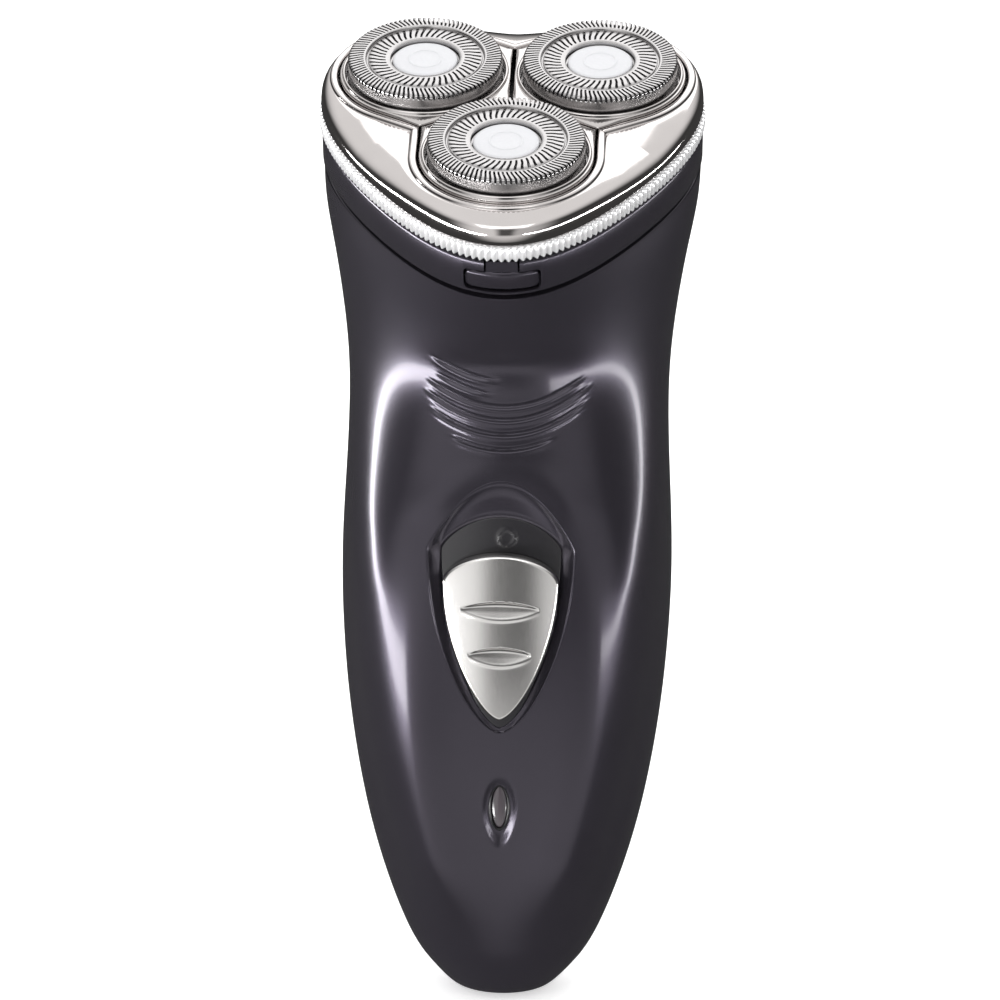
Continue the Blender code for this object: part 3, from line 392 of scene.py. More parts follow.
def add_piece(name, data, finish, body, replaces=(), at=None):
    """Puts a mesh in the scene with its finish, on its body."""
    piece = bpy.data.objects.new(name, data)
    scene.collection.objects.link(piece)
    if at is not None:
        piece.matrix_world = at
    data.materials.clear()
    data.materials.append(finish.material)
    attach(piece, body)
    if replaces:
        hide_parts(*replaces)
    return piece


def settle(piece, angle=35.0, bevel_mm=0.0, segments=3):
    """Rounds a piece's edges and shades it smooth up to an angle."""
    if bevel_mm:
        edge = piece.modifiers.new("rounded_edges", "BEVEL")
        edge.width, edge.segments = bevel_mm * MM, segments
        edge.limit_method, edge.angle_limit = "ANGLE", math.radians(angle)
        edge.harden_normals = True
    data = piece.data
    data.shade_smooth()
    bm = bmesh.new()
    bm.from_mesh(data)
    for edge in bm.edges:
        if len(edge.link_faces) == 2 and edge.calc_face_angle(0) > math.radians(angle):
            edge.smooth = False
    bm.to_mesh(data)
    bm.free()
    return piece


def apply_booleans(piece, operation, cutters):
    """Applies booleans to a piece's mesh, then deletes the cutters."""
    for cutter in cutters:
        step = piece.modifiers.new("cut", "BOOLEAN")
        step.operation, step.object, step.solver = operation, cutter, "MANIFOLD"
    bpy.context.view_layer.update()
    graph = bpy.context.evaluated_depsgraph_get()
    data = bpy.data.meshes.new_from_object(piece.evaluated_get(graph))
    piece.modifiers.clear()
    old, name = piece.data, piece.data.name
    piece.data = data
    bpy.data.meshes.remove(old)
    data.name = name
    for cutter in cutters:
        bpy.data.objects.remove(cutter)
    return piece


def prism_cutter(outline, low, high, placing):
    """A closed prism over an outline, each of its points put in place by a function of (a, b, depth)."""
    count = len(outline)
    points = [placing(a, b, depth) for depth in (low, high) for a, b in outline]
    faces = [tuple(range(count)), tuple(range(2 * count - 1, count - 1, -1))]
    faces += [(k, (k + 1) % count, (k + 1) % count + count, k + count) for k in range(count)]
    data = mesh_of("cutter", points, faces, False)
    cutter = bpy.data.objects.new("cutter", data)
    scene.collection.objects.link(cutter)
    cutter.hide_render = True
    return cutter


def facing_front(x, z, depth):
    return (x, -depth, z)


def smooth_step(low, high, value):
    t = np.clip((value - low) / (high - low), 0, 1)
    return t * t * (3 - 2 * t)


def shield_outline(half_width, bottom, shoulder, top, side_power, crown_power, grow=0.0, count=60):
    """The switch's shield in (x, z): a crown on two shoulders, over sides that run down to a round tip."""
    steps = np.linspace(0, 1, count) ** 1.8
    side_x = (half_width + grow) * np.sin(steps * math.pi / 2) ** side_power
    side_z = bottom - grow + (shoulder - bottom + grow) * steps
    turn = np.linspace(0, math.pi / 2, count // 2)[1:]
    crown_x = (half_width + grow) * np.cos(turn)
    crown_z = shoulder + (top + grow - shoulder) * np.sin(turn) ** crown_power
    x, z = np.concatenate([side_x, crown_x]), np.concatenate([side_z, crown_z])
    x[-1] = 0.0
    return np.concatenate([np.stack([x, z], -1), np.stack([-x[-2:0:-1], z[-2:0:-1]], -1)])


RECESS = (11.6, 47.8, 77.8, 88.3, 0.58, 2.0)
LIGHT_MIDDLE = 35.1
# how far each soft crease of the front face lies from the middle, by height
crease_points = (
    (0.0, 2.0), (10.0, 5.0), (19.0, 8.4), (25.0, 10.2), (33.0, 12.6), (40.0, 14.3), (50.0, 16.3),
    (60.0, 17.7), (73.0, 18.7), (84.0, 18.9), (91.0, 18.4), (97.0, 17.8), (104.0, 17.0), (112.0, 16.0),
)
crease_run = np.linspace(0, 112, 225)
crease_curve = np.interp(crease_run, *np.array(crease_points).T)
for _ in range(3):
    crease_curve[6:-6] = np.convolve(crease_curve, np.ones(13) / 13, "valid")
# height of each rib of the thumb rest, and how far it reaches to the left and to the right
thumb_ribs = (
    (103.7, -10.2, -2.0), (101.5, -9.2, -3.0), (99.6, -10.6, 11.0), (97.5, -11.0, 12.0),
    (95.3, -10.6, 12.0), (93.0, -7.5, 7.0),
)
RIB_BEND = 1 / 34.6


def front_relief(x, z):
    """How far the front moulding stands out from the plain skin, in millimetres."""
    # the face is nearly flat as far as a soft crease, and falls away quickly beyond it
    off = np.abs(x) - np.interp(z, crease_run, crease_curve)
    strength = smooth_step(10, 26, z) * (1 - smooth_step(70, 98, z))
    soft = 0.8 + 2.2 * smooth_step(78, 96, z)
    beyond = np.log1p(np.exp(np.clip(off / soft, -30, 30))) * soft
    before = np.log1p(np.exp(np.clip((off + 6.5) / 2.0, -30, 30))) * 2.0
    relief = strength * (0.28 * before - 0.58 * beyond)
    relief *= 1 - smooth_step(4.5, 9.0, off)
    # the hollow that the thumb finds above the ribs
    relief -= 0.75 * np.exp(-((x / 8.0) ** 2) - ((z - 106.0) / 2.6) ** 2)
    # the ribs: each rises to a crisp upper edge and drops into the groove above it
    for middle, left, right in thumb_ribs:
        groove = z - (middle + x * x * RIB_BEND)
        held = smooth_step(left - 1.5, left + 1.5, x) * (1 - smooth_step(right - 2.0, right + 2.0, x))
        relief -= 0.34 * held * np.exp(-((groove / 0.30) ** 2))
        relief += 0.16 * held * np.exp(-(((groove + 0.62) / 0.45) ** 2))
    # the swelling round the crown of the switch's recess
    crown = np.hypot(x / 1.25, z - 80.0) - 9.5
    relief += 0.35 * smooth_step(80, 86, z) * np.exp(-((crown / 2.4) ** 2))
    # the pointed dimple round the charging light
    across, along = x / 2.5, (z - 34.6) / np.where(z > 34.6, 5.2, 5.6)
    dimple = np.abs(across) ** 2 + np.abs(along) ** np.where(z > 34.6, 2.2, 1.3)
    relief -= 0.45 * (1 - smooth_step(0.72, 1.12, dimple))
    return relief


def handle_finish():
    """Charcoal ABS with a soft gloss: fine moulding grain, a faint flow mottle, and a clear lacquer."""
    made = Finish("charcoal_gloss", Specular_IOR_Level=0.5, Specular_Tint=(0.86, 0.78, 1.0), Coat_Weight=0.30,
                  Coat_Roughness=0.10)
    where = made.place()
    mottle = made.noise(where, 60.0, 3.0)
    grain = made.noise(where, 2600.0, 2.0)
    made.set(Base_Color=made.mix(mottle, (0.0125, 0.0115, 0.0145), (0.0155, 0.0142, 0.0178)),
             Roughness=0.19 + grain * 0.05 + mottle * 0.03)
    made.bump(grain, 0.012, 0.25)
    return made


charcoal = handle_finish()

# stations of the front moulding, closest together across the thumb rest
front_places = np.concatenate([
    np.linspace(0, 3, 34), np.linspace(3, 8.6, 90)[1:], np.linspace(8.6, 11.9, 190)[1:],
    np.linspace(11.9, 14, 26)[1:],
])
RIM_RADIUS = 0.45
PARTING_GAP = 0.15


def half_of_shell(side, columns, places, relief=None):
    """The closed wall of one moulding: its flat end, its skin with the relief, and a rounded top rim."""
    turn = np.linspace(-math.pi / 2, math.pi / 2, columns) + (math.pi if side > 0 else 0)
    face = skin(places, turn)
    if relief is not None:
        face = face + grid_normals(face) * relief(face[..., 0], face[..., 2])[..., None]
    within = skin(places, turn, SHELL_WALL)
    within[..., 2] = np.maximum(within[..., 2], SHELL_WALL)
    # the rim turns in with a small radius
    rim_up = np.cross((1.0, 0, 0), from_head(0, 1, 0) - from_head(0, 0, 0))
    rim_up /= np.linalg.norm(rim_up)
    edge, inner_edge = face[-1], within[-1]
    inward = inner_edge - edge
    inward /= np.linalg.norm(inward, axis=-1, keepdims=True)
    face[-1] = edge - rim_up * RIM_RADIUS
    rows = [face]
    for a in (0.35, 0.75, 1.15, math.pi / 2):
        turned_in = inward * RIM_RADIUS * (1 - math.cos(a)) - rim_up * RIM_RADIUS * (1 - math.sin(a))
        rows.append((edge + turned_in)[None])
    mouth_y, mouth_x = 3.7, 1.2
    mouth = np.stack([
        mouth_y * np.sin(turn) + mouth_x * np.clip(3 * np.sin(turn), -1, 1), -mouth_y * np.cos(turn), 0 * turn
    ], -1)
    outer = np.concatenate([mouth[None], *rows])
    inner = np.concatenate([(mouth + (0, 0, SHELL_WALL))[None], within, np.repeat(inner_edge[None], 4, 0)])
    for grid in (outer, inner):
        grid[:, (0, -1), 1] += side * PARTING_GAP
    return outer, inner


outer, inner = half_of_shell(-1, 240, front_places, front_relief)
front_skin = BVHTree.FromPolygons(outer.reshape(-1, 3).tolist(), grid_faces(*outer.shape[:2]))


def front_y(x, z):
    """Where the front moulding's skin lies at (x, z)."""
    hit = front_skin.ray_cast(Vector((x, -60, z)), Vector((0, 1, 0)))[0]
    return hit.y if hit else 0.0


front = add_piece("front_moulding", walled_mesh("front_moulding", outer, inner), charcoal, "handle",
                  ("front_shell",))
oval = np.linspace(0, 2 * math.pi, 48, endpoint=False)
light_hole = np.stack([1.72 * np.sin(oval), LIGHT_MIDDLE + 3.85 * np.cos(oval)], -1)
apply_booleans(front, "DIFFERENCE", [
    prism_cutter(hole, 9.0, 32.0, facing_front) for hole in (shield_outline(*RECESS), light_hole)
])
settle(front, 50)

rear_places = np.concatenate([np.linspace(0, 3, 26), np.linspace(3, 14, 100)[1:]])
outer, inner = half_of_shell(1, 120, rear_places)
rear_skin = BVHTree.FromPolygons(outer.reshape(-1, 3).tolist(), grid_faces(*outer.shape[:2]))


def rear_y(x, z):
    """Where the rear moulding's skin lies at (x, z)."""
    hit = rear_skin.ray_cast(Vector((x, 60, z)), Vector((0, -1, 0)))[0]
    return hit.y if hit else 0.0


rear = add_piece("rear_moulding", walled_mesh("rear_moulding", outer, inner), charcoal, "handle",
                 ("rear_shell",))


def facing_rear(x, z, depth):
    return (x, depth, z)


def rounded_box(left, right, low, high, radius, count=6):
    """An outline with four rounded corners."""
    corners = ((right, high, 0), (left, high, 1), (left, low, 2), (right, low, 3))
    signs = ((-1, -1), (1, -1), (1, 1), (-1, 1))
    line = []
    for (x, z, quarter), (sx, sz) in zip(corners, signs):
        for a in np.linspace(0, math.pi / 2, count) + quarter * math.pi / 2:
            line.append((x + sx * radius + radius * math.cos(a), z + sz * radius + radius * math.sin(a)))
    return line


def circle(radius, a, b, count):
    """Points of a circle round (a, b)."""
    return [(a + radius * math.cos(t), b + radius * math.sin(t))
            for t in np.linspace(0, 2 * math.pi, count, False)]


TRIMMER_Y, TRIMMER_Z, TRIMMER_TOP, TRIMMER_HALF = 25.5, 117.0, 130.2, 13.0
SLIDE_MIDDLE, SLIDE_TRAVEL = 101.0, 2.5
SCREW_X, SCREW_Z = 8.5, 14
flap_hole = rounded_box(-TRIMMER_HALF - 0.4, TRIMMER_HALF + 0.4, TRIMMER_Z - 2.9, TRIMMER_TOP + 0.4, 1.0)
slide_hole = rounded_box(-3.2, 3.2, SLIDE_MIDDLE - 3.4 - SLIDE_TRAVEL, SLIDE_MIDDLE + 3.4, 0.9)
screw_seats = [prism_cutter(circle(2.4, x, SCREW_Z, 24), 9.6, 30, facing_rear) for x in (-SCREW_X, SCREW_X)]
apply_booleans(rear, "DIFFERENCE", [
    *[prism_cutter(hole, 20, 40, facing_rear) for hole in (flap_hole, slide_hole)], *screw_seats,
])
settle(rear, 50)

# ---- Switch recess
# A dark gloss lip runs round the shield-shaped hole and slopes in to a floor that bulges towards the
# thumb. The floor is the bezel moulding, slotted under the button, with a small ring as its only mark.

# painted shade: the recess floor is coloured darker than the handle's charcoal, standing in for the shade that
# falls into the recess
recess_shade_charcoal = grained("recess_painted_shade_gloss", (0.0075, 0.007, 0.009), (0.0105, 0.0095, 0.0125), 0.27, 0.08,
                        2400.0, 2.0, 0.012, 0.2, Specular_IOR_Level=0.5, Coat_Weight=0.4, Coat_Roughness=0.12)
FLOOR = (9.35, 48.6, 77.2, 82.4, 0.60, 1.5)


def even_outline(outline, count):
    """The outline again, with its points spread evenly along it."""
    closed = np.concatenate([outline, outline[:1]])
    run = np.concatenate([[0], np.cumsum(np.hypot(*np.diff(closed, axis=0).T))])
    at = np.linspace(0, run[-1], count, endpoint=False)
    return np.stack([np.interp(at, run, closed[:, k]) for k in (0, 1)], -1)


def swept_ring(name, rings):
    """A closed band through successive closed rings of points, back to the first ring."""
    rings = np.array(rings)
    count, around_it = rings.shape[:2]
    faces = grid_faces(count, around_it, 0, True)
    last = np.arange(around_it) + (count - 1) * around_it
    first = np.arange(around_it)
    faces += np.stack([last, np.roll(last, -1), np.roll(first, -1), first], -1).tolist()
    return mesh_of(name, rings.reshape(-1, 3), faces)


def floor_y(x, z):
    """The floor of the recess: it bulges forward in the middle and falls back to its edge."""
    return -18.55 - 0.7 * (1 - np.minimum(1, (x / 9.6) ** 2)) - 0.35 * smooth_step(84, 70, z)


lip_count = 220
rim_line = even_outline(shield_outline(*RECESS), lip_count)
foot_line = even_outline(shield_outline(*FLOOR), lip_count)
rim_skin = np.array([front_y(x * 1.012, z + 0.012 * (z - 68) / 20) for x, z in rim_line])
rim_skin = np.convolve(np.concatenate([rim_skin[-2:], rim_skin, rim_skin[:2]]), np.ones(5) / 5, "valid")
inward = foot_line - rim_line
LIP_FALL = 0.42
lip_rings = []
# share of the way in to the floor, depth under the skin, share of the way down, depth under the floor
for share, depth, down, under in (
    (-0.02, 1.6, 0, 0), (-0.02, 0.12, 0, 0), (0.03, 0, 0, 0), (0.10, 0.03, 0, 0), (0.17, 0.16, 0, 0),
    (0.26, LIP_FALL, 0.1, 0), (0.5, LIP_FALL, 0.45, 0), (0.8, LIP_FALL, 0.85, 0), (1.0, LIP_FALL, 1.0, 0),
    (1.02, LIP_FALL, 1.0, 0.3), (0.9, LIP_FALL, 1.0, 1.2), (0.3, LIP_FALL, 1.0, 1.6),
):
    x, z = (rim_line + inward * share).T
    base = rim_skin + depth
    lip_rings.append(np.stack([x, base + (floor_y(x, z) - base) * down + under, z], -1))
add_piece("recess_lip", swept_ring("recess_lip", lip_rings), charcoal, "handle")


def capped_rings(name, rings, last_tip, first_tip):
    """A closed skin through successive rings of points, each end of it drawn in to a tip."""
    rings = np.array(rings)
    count, around_it = rings.shape[:2]
    first = np.arange(around_it)
    last = first + (count - 1) * around_it
    faces = grid_faces(count, around_it, 0, True)
    for k, (line, after) in enumerate(((last, np.roll(last, -1)), (np.roll(first, -1), first))):
        faces += np.stack([line, after, np.full(around_it, count * around_it + k)], -1).tolist()
    return mesh_of(name, np.concatenate([rings.reshape(-1, 3), [last_tip, first_tip]]), faces)


def filled_shield(name, outline, surface_y, back_y, rounding, middle_z, rings):
    """A closed plate over an outline: a shaped front face, edges of that rounding, and a flat back."""
    middle = np.array((0.0, middle_z))
    reach = np.hypot(*(outline - middle).T)
    shares = np.concatenate([np.linspace(0, 1, 7)[:-1] * rounding / reach.mean(),
                             np.linspace(rounding / reach.mean(), 1, rings)])[:-1]
    ring_list = [np.stack([outline[:, 0], np.full(len(outline), back_y), outline[:, 1]], -1)]
    for share in shares:
        flat = outline + (middle - outline) * share
        gap = np.minimum(share * reach, rounding)
        drop = rounding - np.sqrt(np.maximum(rounding**2 - (rounding - gap) ** 2, 0))
        ring_list.append(np.stack([flat[:, 0], surface_y(flat[:, 0], flat[:, 1]) + drop, flat[:, 1]], -1))
    tip_y = surface_y(np.array(0.0), np.array(middle_z))
    return capped_rings(name, ring_list, (0, tip_y, middle_z), (0, back_y, middle_z))


def bezel_relief(x, z):
    """The floor, with the groove of the small ring."""
    ring = np.hypot(x - 0.9, z - 79.2)
    return floor_y(x, z) - 0.16 * np.exp(-(((ring - 1.25) / 0.22) ** 2))


# the bezel floor's darker charcoal is painted shade for the recess
bezel = add_piece("switch_bezel_moulding",
                  filled_shield("switch_bezel_moulding", foot_line, bezel_relief, -16.2, 0.25, 66.0, 60),
                  recess_shade_charcoal, "handle", ("switch_bezel",))
stem_slot = rounded_box(-2.3, 2.3, 59.0, 73.5, 0.5)
apply_booleans(bezel, "DIFFERENCE", [prism_cutter(stem_slot, 10.0, 30.0, facing_front)])
settle(bezel, 40)

# ---- Sliding switch
# A satin silver plated button, crowned from side to side, with two scooped thumb grips. It slides up
# four and a half millimetres, on the CAD carriage behind the bezel.

silver = Finish("satin_silver", Metallic=1.0)
silver_place = silver.place()
silver_grain = silver.noise(silver.stretched(silver_place, (1.0, 1.0, 0.25)), 3200.0, 2.0)
silver_tone = silver.noise(silver_place, 130.0, 2.0)
silver.set(Base_Color=silver.mix(silver_tone, (0.80, 0.79, 0.775), (0.86, 0.85, 0.835)),
           Roughness=0.15 + silver_grain * 0.06)
silver.bump(silver_grain, 0.006, 0.25)

BUTTON = (9.0, 50.4, 72.5, 76.9, 0.64, 1.2)


def button_face(x, z):
    """The button's face: crowned across, nearly straight up, with the two lens-shaped scoops."""
    y = -22.55 + 0.95 * np.abs(x / 9.0) ** 2.2 + 0.35 * ((z - 64) / 13) ** 2
    for middle, reach in ((68.3, 6.1), (61.0, 4.9)):
        lens = np.clip(1 - (x / reach) ** 2, 0, 1)
        span = 0.25 + 1.15 * lens
        up = (z - middle) / span
        scoop = np.where(np.abs(up) < 1, (1 - up * up) * (0.75 + 0.55 * up), 0)
        y = y + 0.62 * lens**0.7 * scoop
        y = y - 0.10 * lens * np.exp(-(((z - middle + span + 0.15) / 0.3) ** 2))
    return y


button_line = even_outline(shield_outline(*BUTTON), 240)
button_mesh = filled_shield("switch_button", button_line, button_face, -19.6, 0.55, 64.0, 84)
button = add_piece("switch_button", button_mesh, silver, "switch", ("power_switch",))
stem = prism_cutter(rounded_box(-1.9, 1.9, 59.7, 68.3, 0.4), 15.4, 20.4, facing_front)
apply_booleans(button, "UNION", [stem])
settle(button, 40)

# ---- Charging light
# A dark, clear oval lens in a black ring, set in the dimple of the front moulding.

lens_glass = Finish("light_lens_gloss", Specular_IOR_Level=0.5, Coat_Weight=0.6, Coat_Roughness=0.05)
lens_place = lens_glass.place()
across_lens = abs(lens_glass.part(lens_place, "X")) / (1.5 * MM)
lens_cloud = lens_glass.noise(lens_place, 700.0, 2.0)
lens_glass.set(
    Base_Color=lens_glass.mix(across_lens.more_than(0.15, 0.7), (0.055, 0.047, 0.053), (0.026, 0.023, 0.028)),
    Roughness=0.12 + lens_cloud * 0.1,
)
ring_black = grained("black_gloss", (0.004, 0.004, 0.005), (0.004, 0.004, 0.005), 0.24, 0.1,
                     2500.0, 2.0, 0.01, 0.2)


def oval_at(half_x, half_z, y):
    """A ring of points round the light's middle."""
    return np.stack([half_x * np.sin(oval), np.full(len(oval), y), LIGHT_MIDDLE + half_z * np.cos(oval)], -1)


light_y = min(front_y(2.0, LIGHT_MIDDLE), front_y(-2.0, LIGHT_MIDDLE))
ring_mesh = swept_ring("light_ring", [oval_at(hx, hz, light_y + d) for hx, hz, d in (
    (1.70, 3.83, 1.5), (1.70, 3.83, 0.05), (1.62, 3.75, -0.12), (1.45, 3.58, -0.16), (1.30, 3.43, -0.05),
    (1.27, 3.40, 0.25), (1.27, 3.40, 1.5),
)])
add_piece("light_ring", ring_mesh, ring_black, "handle")
LENS_HALF_X, LENS_HALF_Z, LENS_EDGE, LENS_CROWN, LENS_BACK = 1.24, 3.37, 0.30, 0.28, 3.2
lens_rings = [oval_at(LENS_HALF_X, LENS_HALF_Z, light_y + LENS_BACK)] + [
    oval_at(LENS_HALF_X * s, LENS_HALF_Z * s, light_y + LENS_EDGE - LENS_CROWN * (1 - s * s) ** 0.5)
    for s in (1.0, 0.97, 0.9, 0.75, 0.5, 0.25)
]
lens_tips = [(0, light_y + depth, LIGHT_MIDDLE) for depth in (LENS_EDGE - LENS_CROWN, LENS_BACK)]
add_piece("light_cover", capped_rings("light_cover", lens_rings, *lens_tips), lens_glass, "handle",
          ("light_lens",))

# ---- Collar and release button
# A dark ring on top of the handle that the shaving unit closes onto. Its front is cut away for the
# release button, a wide bar with a narrow tab above it, and its rear carries the two hinge ears.

u_head = Vector((1, 0, 0))
v_head = Vector((0, math.cos(TILT), math.sin(TILT)))
w_head = Vector((0, -math.sin(TILT), math.cos(TILT)))
HEAD_FRAME = Matrix.Translation(Vector((0, HEAD_Y, HEAD_Z)) * MM) @ Matrix(
    (u_head, v_head, w_head)).transposed().to_4x4()


def head_outline(count=240):
    """The head's rounded triangle in (u, v), from its front tip, with its outward normals."""
    angles = np.linspace(0, 2 * math.pi, 2000, endpoint=False)
    sines, cosines = section_waves(0.0, 1.0)
    u = HEAD_HALF_WIDTH * (np.sin(np.outer(angles, WAVES)) @ sines)
    v = (HEAD_FRONT + HEAD_REAR) * (np.cos(np.outer(angles, WAVES)) @ cosines) - HEAD_FRONT
    line = even_outline(np.stack([u, v], -1), count)
    run = np.roll(line, -1, 0) - np.roll(line, 1, 0)
    normals = np.stack([run[:, 1], -run[:, 0]], -1) / np.hypot(*run.T)[:, None]
    return line, normals


def ring_of_head(line, normals, out, w):
    """Points of a ring that stands out from the head's outline by out, at height w."""
    placed = line + normals * np.asarray(out).reshape(-1, 1)
    return from_head(placed[:, 0], placed[:, 1], w)


def facing_head_front(u, w, depth):
    return from_head(u, -depth, w)


def across_head(v, w, depth):
    return from_head(depth, v, w)


outline, outward = head_outline(300)
collar_profile = (
    (0.0, 0.75), (-0.15, 0.42), (-0.45, 0.3), (-1.8, 0.3), (-1.8, 6.1), (-0.42, 6.1), (-0.12, 5.98),
    (0.0, 5.7),
)
collar_rings = [ring_of_head(outline, outward, out, w) for out, w in collar_profile]
collar = add_piece("collar_ring", swept_ring("collar_ring", collar_rings), charcoal, "handle",
                   ("collar",))
HINGE_V, HINGE_W = HEAD_REAR + 1.6, 6.25
ears = []
for low, high in ((-7.8, -4.8), (4.8, 7.8)):
    foot = [(HEAD_REAR - 1.5, HINGE_W - 2.6), (HINGE_V + 0.9, HINGE_W - 2.0), (HINGE_V + 1.45, HINGE_W - 0.3),
            (HINGE_V, HINGE_W), (HEAD_REAR - 1.5, HINGE_W - 0.9)]
    ears.append(prism_cutter(foot, low, high, across_head))
    ears.append(prism_cutter(circle(1.5, HINGE_V, HINGE_W, 28), low, high, across_head))
apply_booleans(collar, "UNION", ears)
pin_bore = circle(0.75, HINGE_V, HINGE_W, 28)
bores = [prism_cutter(pin_bore, low, high, across_head) for low, high in ((-9, -4), (4, 9))]
bar_window = rounded_box(-5.85, 5.85, 0.9, 4.5, 0.8)
tab_window = rounded_box(-2.7, 2.7, 2.0, 8.1, 0.2)
windows = [prism_cutter(line, HEAD_FRONT - 6, HEAD_FRONT + 2, facing_head_front)
           for line in (bar_window, tab_window)]
apply_booleans(collar, "DIFFERENCE", [*bores, *windows])
settle(collar, 40, 0.12, 2)

near_front = (np.abs(outline[:, 0]) < 8) & (outline[:, 1] < 0)
front_order = np.argsort(outline[near_front][:, 0])
front_u, front_v = outline[near_front][front_order].T


BAR_HALF, BAR_LOW, BAR_HIGH, BAR_CORNER = 5.6, 1.2, 4.2, 0.9
# share of the way up the bar, and how far in from the collar's outline
bar_profile = (
    (0, 1.35), (0, 0.55), (0.06, 0.3), (0.16, 0.22), (0.5, 0.18), (0.8, 0.12), (0.92, 0.2), (1, 0.5), (1, 1.35),
)
bar_count, bar_columns = len(bar_profile), 41
span = np.linspace(-BAR_HALF, BAR_HALF, bar_columns)
corner = np.clip((np.abs(span) - (BAR_HALF - BAR_CORNER)) / BAR_CORNER, 0, 1)
shrink = BAR_CORNER - BAR_CORNER * np.sqrt(1 - corner**2)
low, high = BAR_LOW + shrink * 0.35, BAR_HIGH - shrink
front_edge = np.interp(span, front_u, front_v) + 0.25 * corner
bar_rows = [from_head(span, front_edge + inset, low + (high - low) * share) for share, inset in bar_profile]
top_row = bar_columns * (bar_count - 1)
bar_faces = grid_faces(bar_count, bar_columns)
bar_faces += [[bar_columns * r + c for r in range(bar_count)] for c in (0, bar_columns - 1)]
bar_faces += [[c, c + 1, top_row + c + 1, top_row + c] for c in range(bar_columns - 1)]
release = add_piece("release_bar", mesh_of("release_bar", bar_rows, bar_faces), charcoal, "release",
                    ("release_button",))
tab_line = rounded_box(-2.4, 2.4, 2.6, 6.0, 0.25)
tab = prism_cutter(tab_line, HEAD_FRONT - 1.4, HEAD_FRONT - 0.6, facing_head_front)
apply_booleans(release, "UNION", [tab])
settle(release, 40)

# ---- Toothed band
# A clear moulded band over a bright foil, ribbed all round, with each rib running down to a scallop.

clear_band = Finish("clear_ribbed_band", Metallic=0.55, Specular_IOR_Level=0.6, Coat_Weight=0.5,
                    Coat_Roughness=0.08)
band_place = clear_band.place()
band_cloud = clear_band.noise(band_place, 900.0, 2.0)
clear_band.set(Base_Color=clear_band.mix(band_cloud, (0.78, 0.78, 0.79), (0.90, 0.90, 0.91)),
               Roughness=0.16 + band_cloud * 0.12)
clear_band.bump(clear_band.noise(band_place, 3000.0), 0.01, 0.3)

TEETH, TOOTH_POINTS = 172, 10
NOTCH_HALF = 8.2
band_line, band_out = head_outline(TEETH * TOOTH_POINTS)
phase = (np.arange(TEETH * TOOTH_POINTS) % TOOTH_POINTS) / TOOTH_POINTS * 2 * math.pi
rib = (0.5 + 0.5 * np.cos(phase)) ** 0.8
scallop = 0.28 * (1 - rib)
band_rings = [
    ring_of_head(band_line, band_out, out + swell * rib, w + lift * scallop) for out, swell, w, lift in (
        (-1.5, 0, 6.45, 0), (-0.30, 0.0, 6.42, 1.0), (-0.22, 0.38, 6.50, 1.0), (-0.10, 0.42, 6.85, 0.6),
        (-0.08, 0.42, 7.8, 0), (-0.12, 0.36, 8.55, 0), (-0.22, 0.22, 8.90, 0), (-0.45, 0.0, 9.02, 0),
        (-1.5, 0, 9.02, 0),
    )
]
band = add_piece("toothed_band", swept_ring("toothed_band", band_rings), clear_band, "shaving_unit",
                 ("serrated_band",))
notch_line = rounded_box(-NOTCH_HALF, NOTCH_HALF, 5.0, 11.0, 0.2)
notch = prism_cutter(notch_line, -HEAD_REAR - 4, -HEAD_REAR + 4, facing_head_front)
apply_booleans(band, "DIFFERENCE", [notch])
settle(band, 50)

# ---- Head plate
# The bright plated moulding that carries the pods. It stands up from the band, rounds over, and slopes
# gently in to a thin raised lip that follows the three pods.


def plated(name, low, high, rough):
    """Chrome plate on plastic, with the faint waviness and haze that plating leaves."""
    made = Finish(name, Metallic=1.0)
    where = made.place()
    haze = made.noise(where, 90.0, 3.0)
    specks = made.noise(where, 2200.0, 2.0)
    made.set(Base_Color=made.mix(haze, low, high), Roughness=rough + haze * 0.05 + specks * 0.03)
    made.bump(haze + specks * 0.15, 0.05, 0.12)
    return made


chrome = plated("chrome", (0.60, 0.57, 0.56), (0.70, 0.67, 0.66), 0.05)
HEAD_RADIUS = 27.4 / math.sqrt(3)
POD_RADIUS, POD_GAP = 13.45, 0.5
PLATE_COLUMNS = 720


def turned_about(points, degrees):
    a = math.radians(degrees)
    x, y = np.asarray(points, float).T
    return np.stack([x * math.cos(a) - y * math.sin(a), x * math.sin(a) + y * math.cos(a)], -1)


def three_pods(clearance):
    """The outline round all three pods."""
    radius = POD_RADIUS + clearance
    turn = np.linspace(math.pi, 2 * math.pi, 160)
    lobe = [(-radius, -radius * math.tan(math.radians(30)))]
    lobe += [(radius * math.cos(a), radius * math.sin(a) - HEAD_RADIUS) for a in turn]
    return np.concatenate([turned_about(lobe, 120 * k) for k in range(3)])


def radius_at(line, angles, middle=(0.0, 0.0)):
    """How far a closed outline lies from its middle at each angle."""
    points = even_outline(np.asarray(line, float), 6000) - middle
    round_ = np.arctan2(points[:, 1], points[:, 0])
    order = np.argsort(round_)
    return np.interp(angles, round_[order], np.hypot(*points[order].T), period=2 * math.pi)


plate_angles = np.linspace(0, 2 * math.pi, PLATE_COLUMNS, endpoint=False) - math.pi / 2
lip_inner, lip_edge = (radius_at(three_pods(grow), plate_angles) for grow in (0.35, 1.55))
plate_rim = radius_at(head_outline(3000)[0], plate_angles)
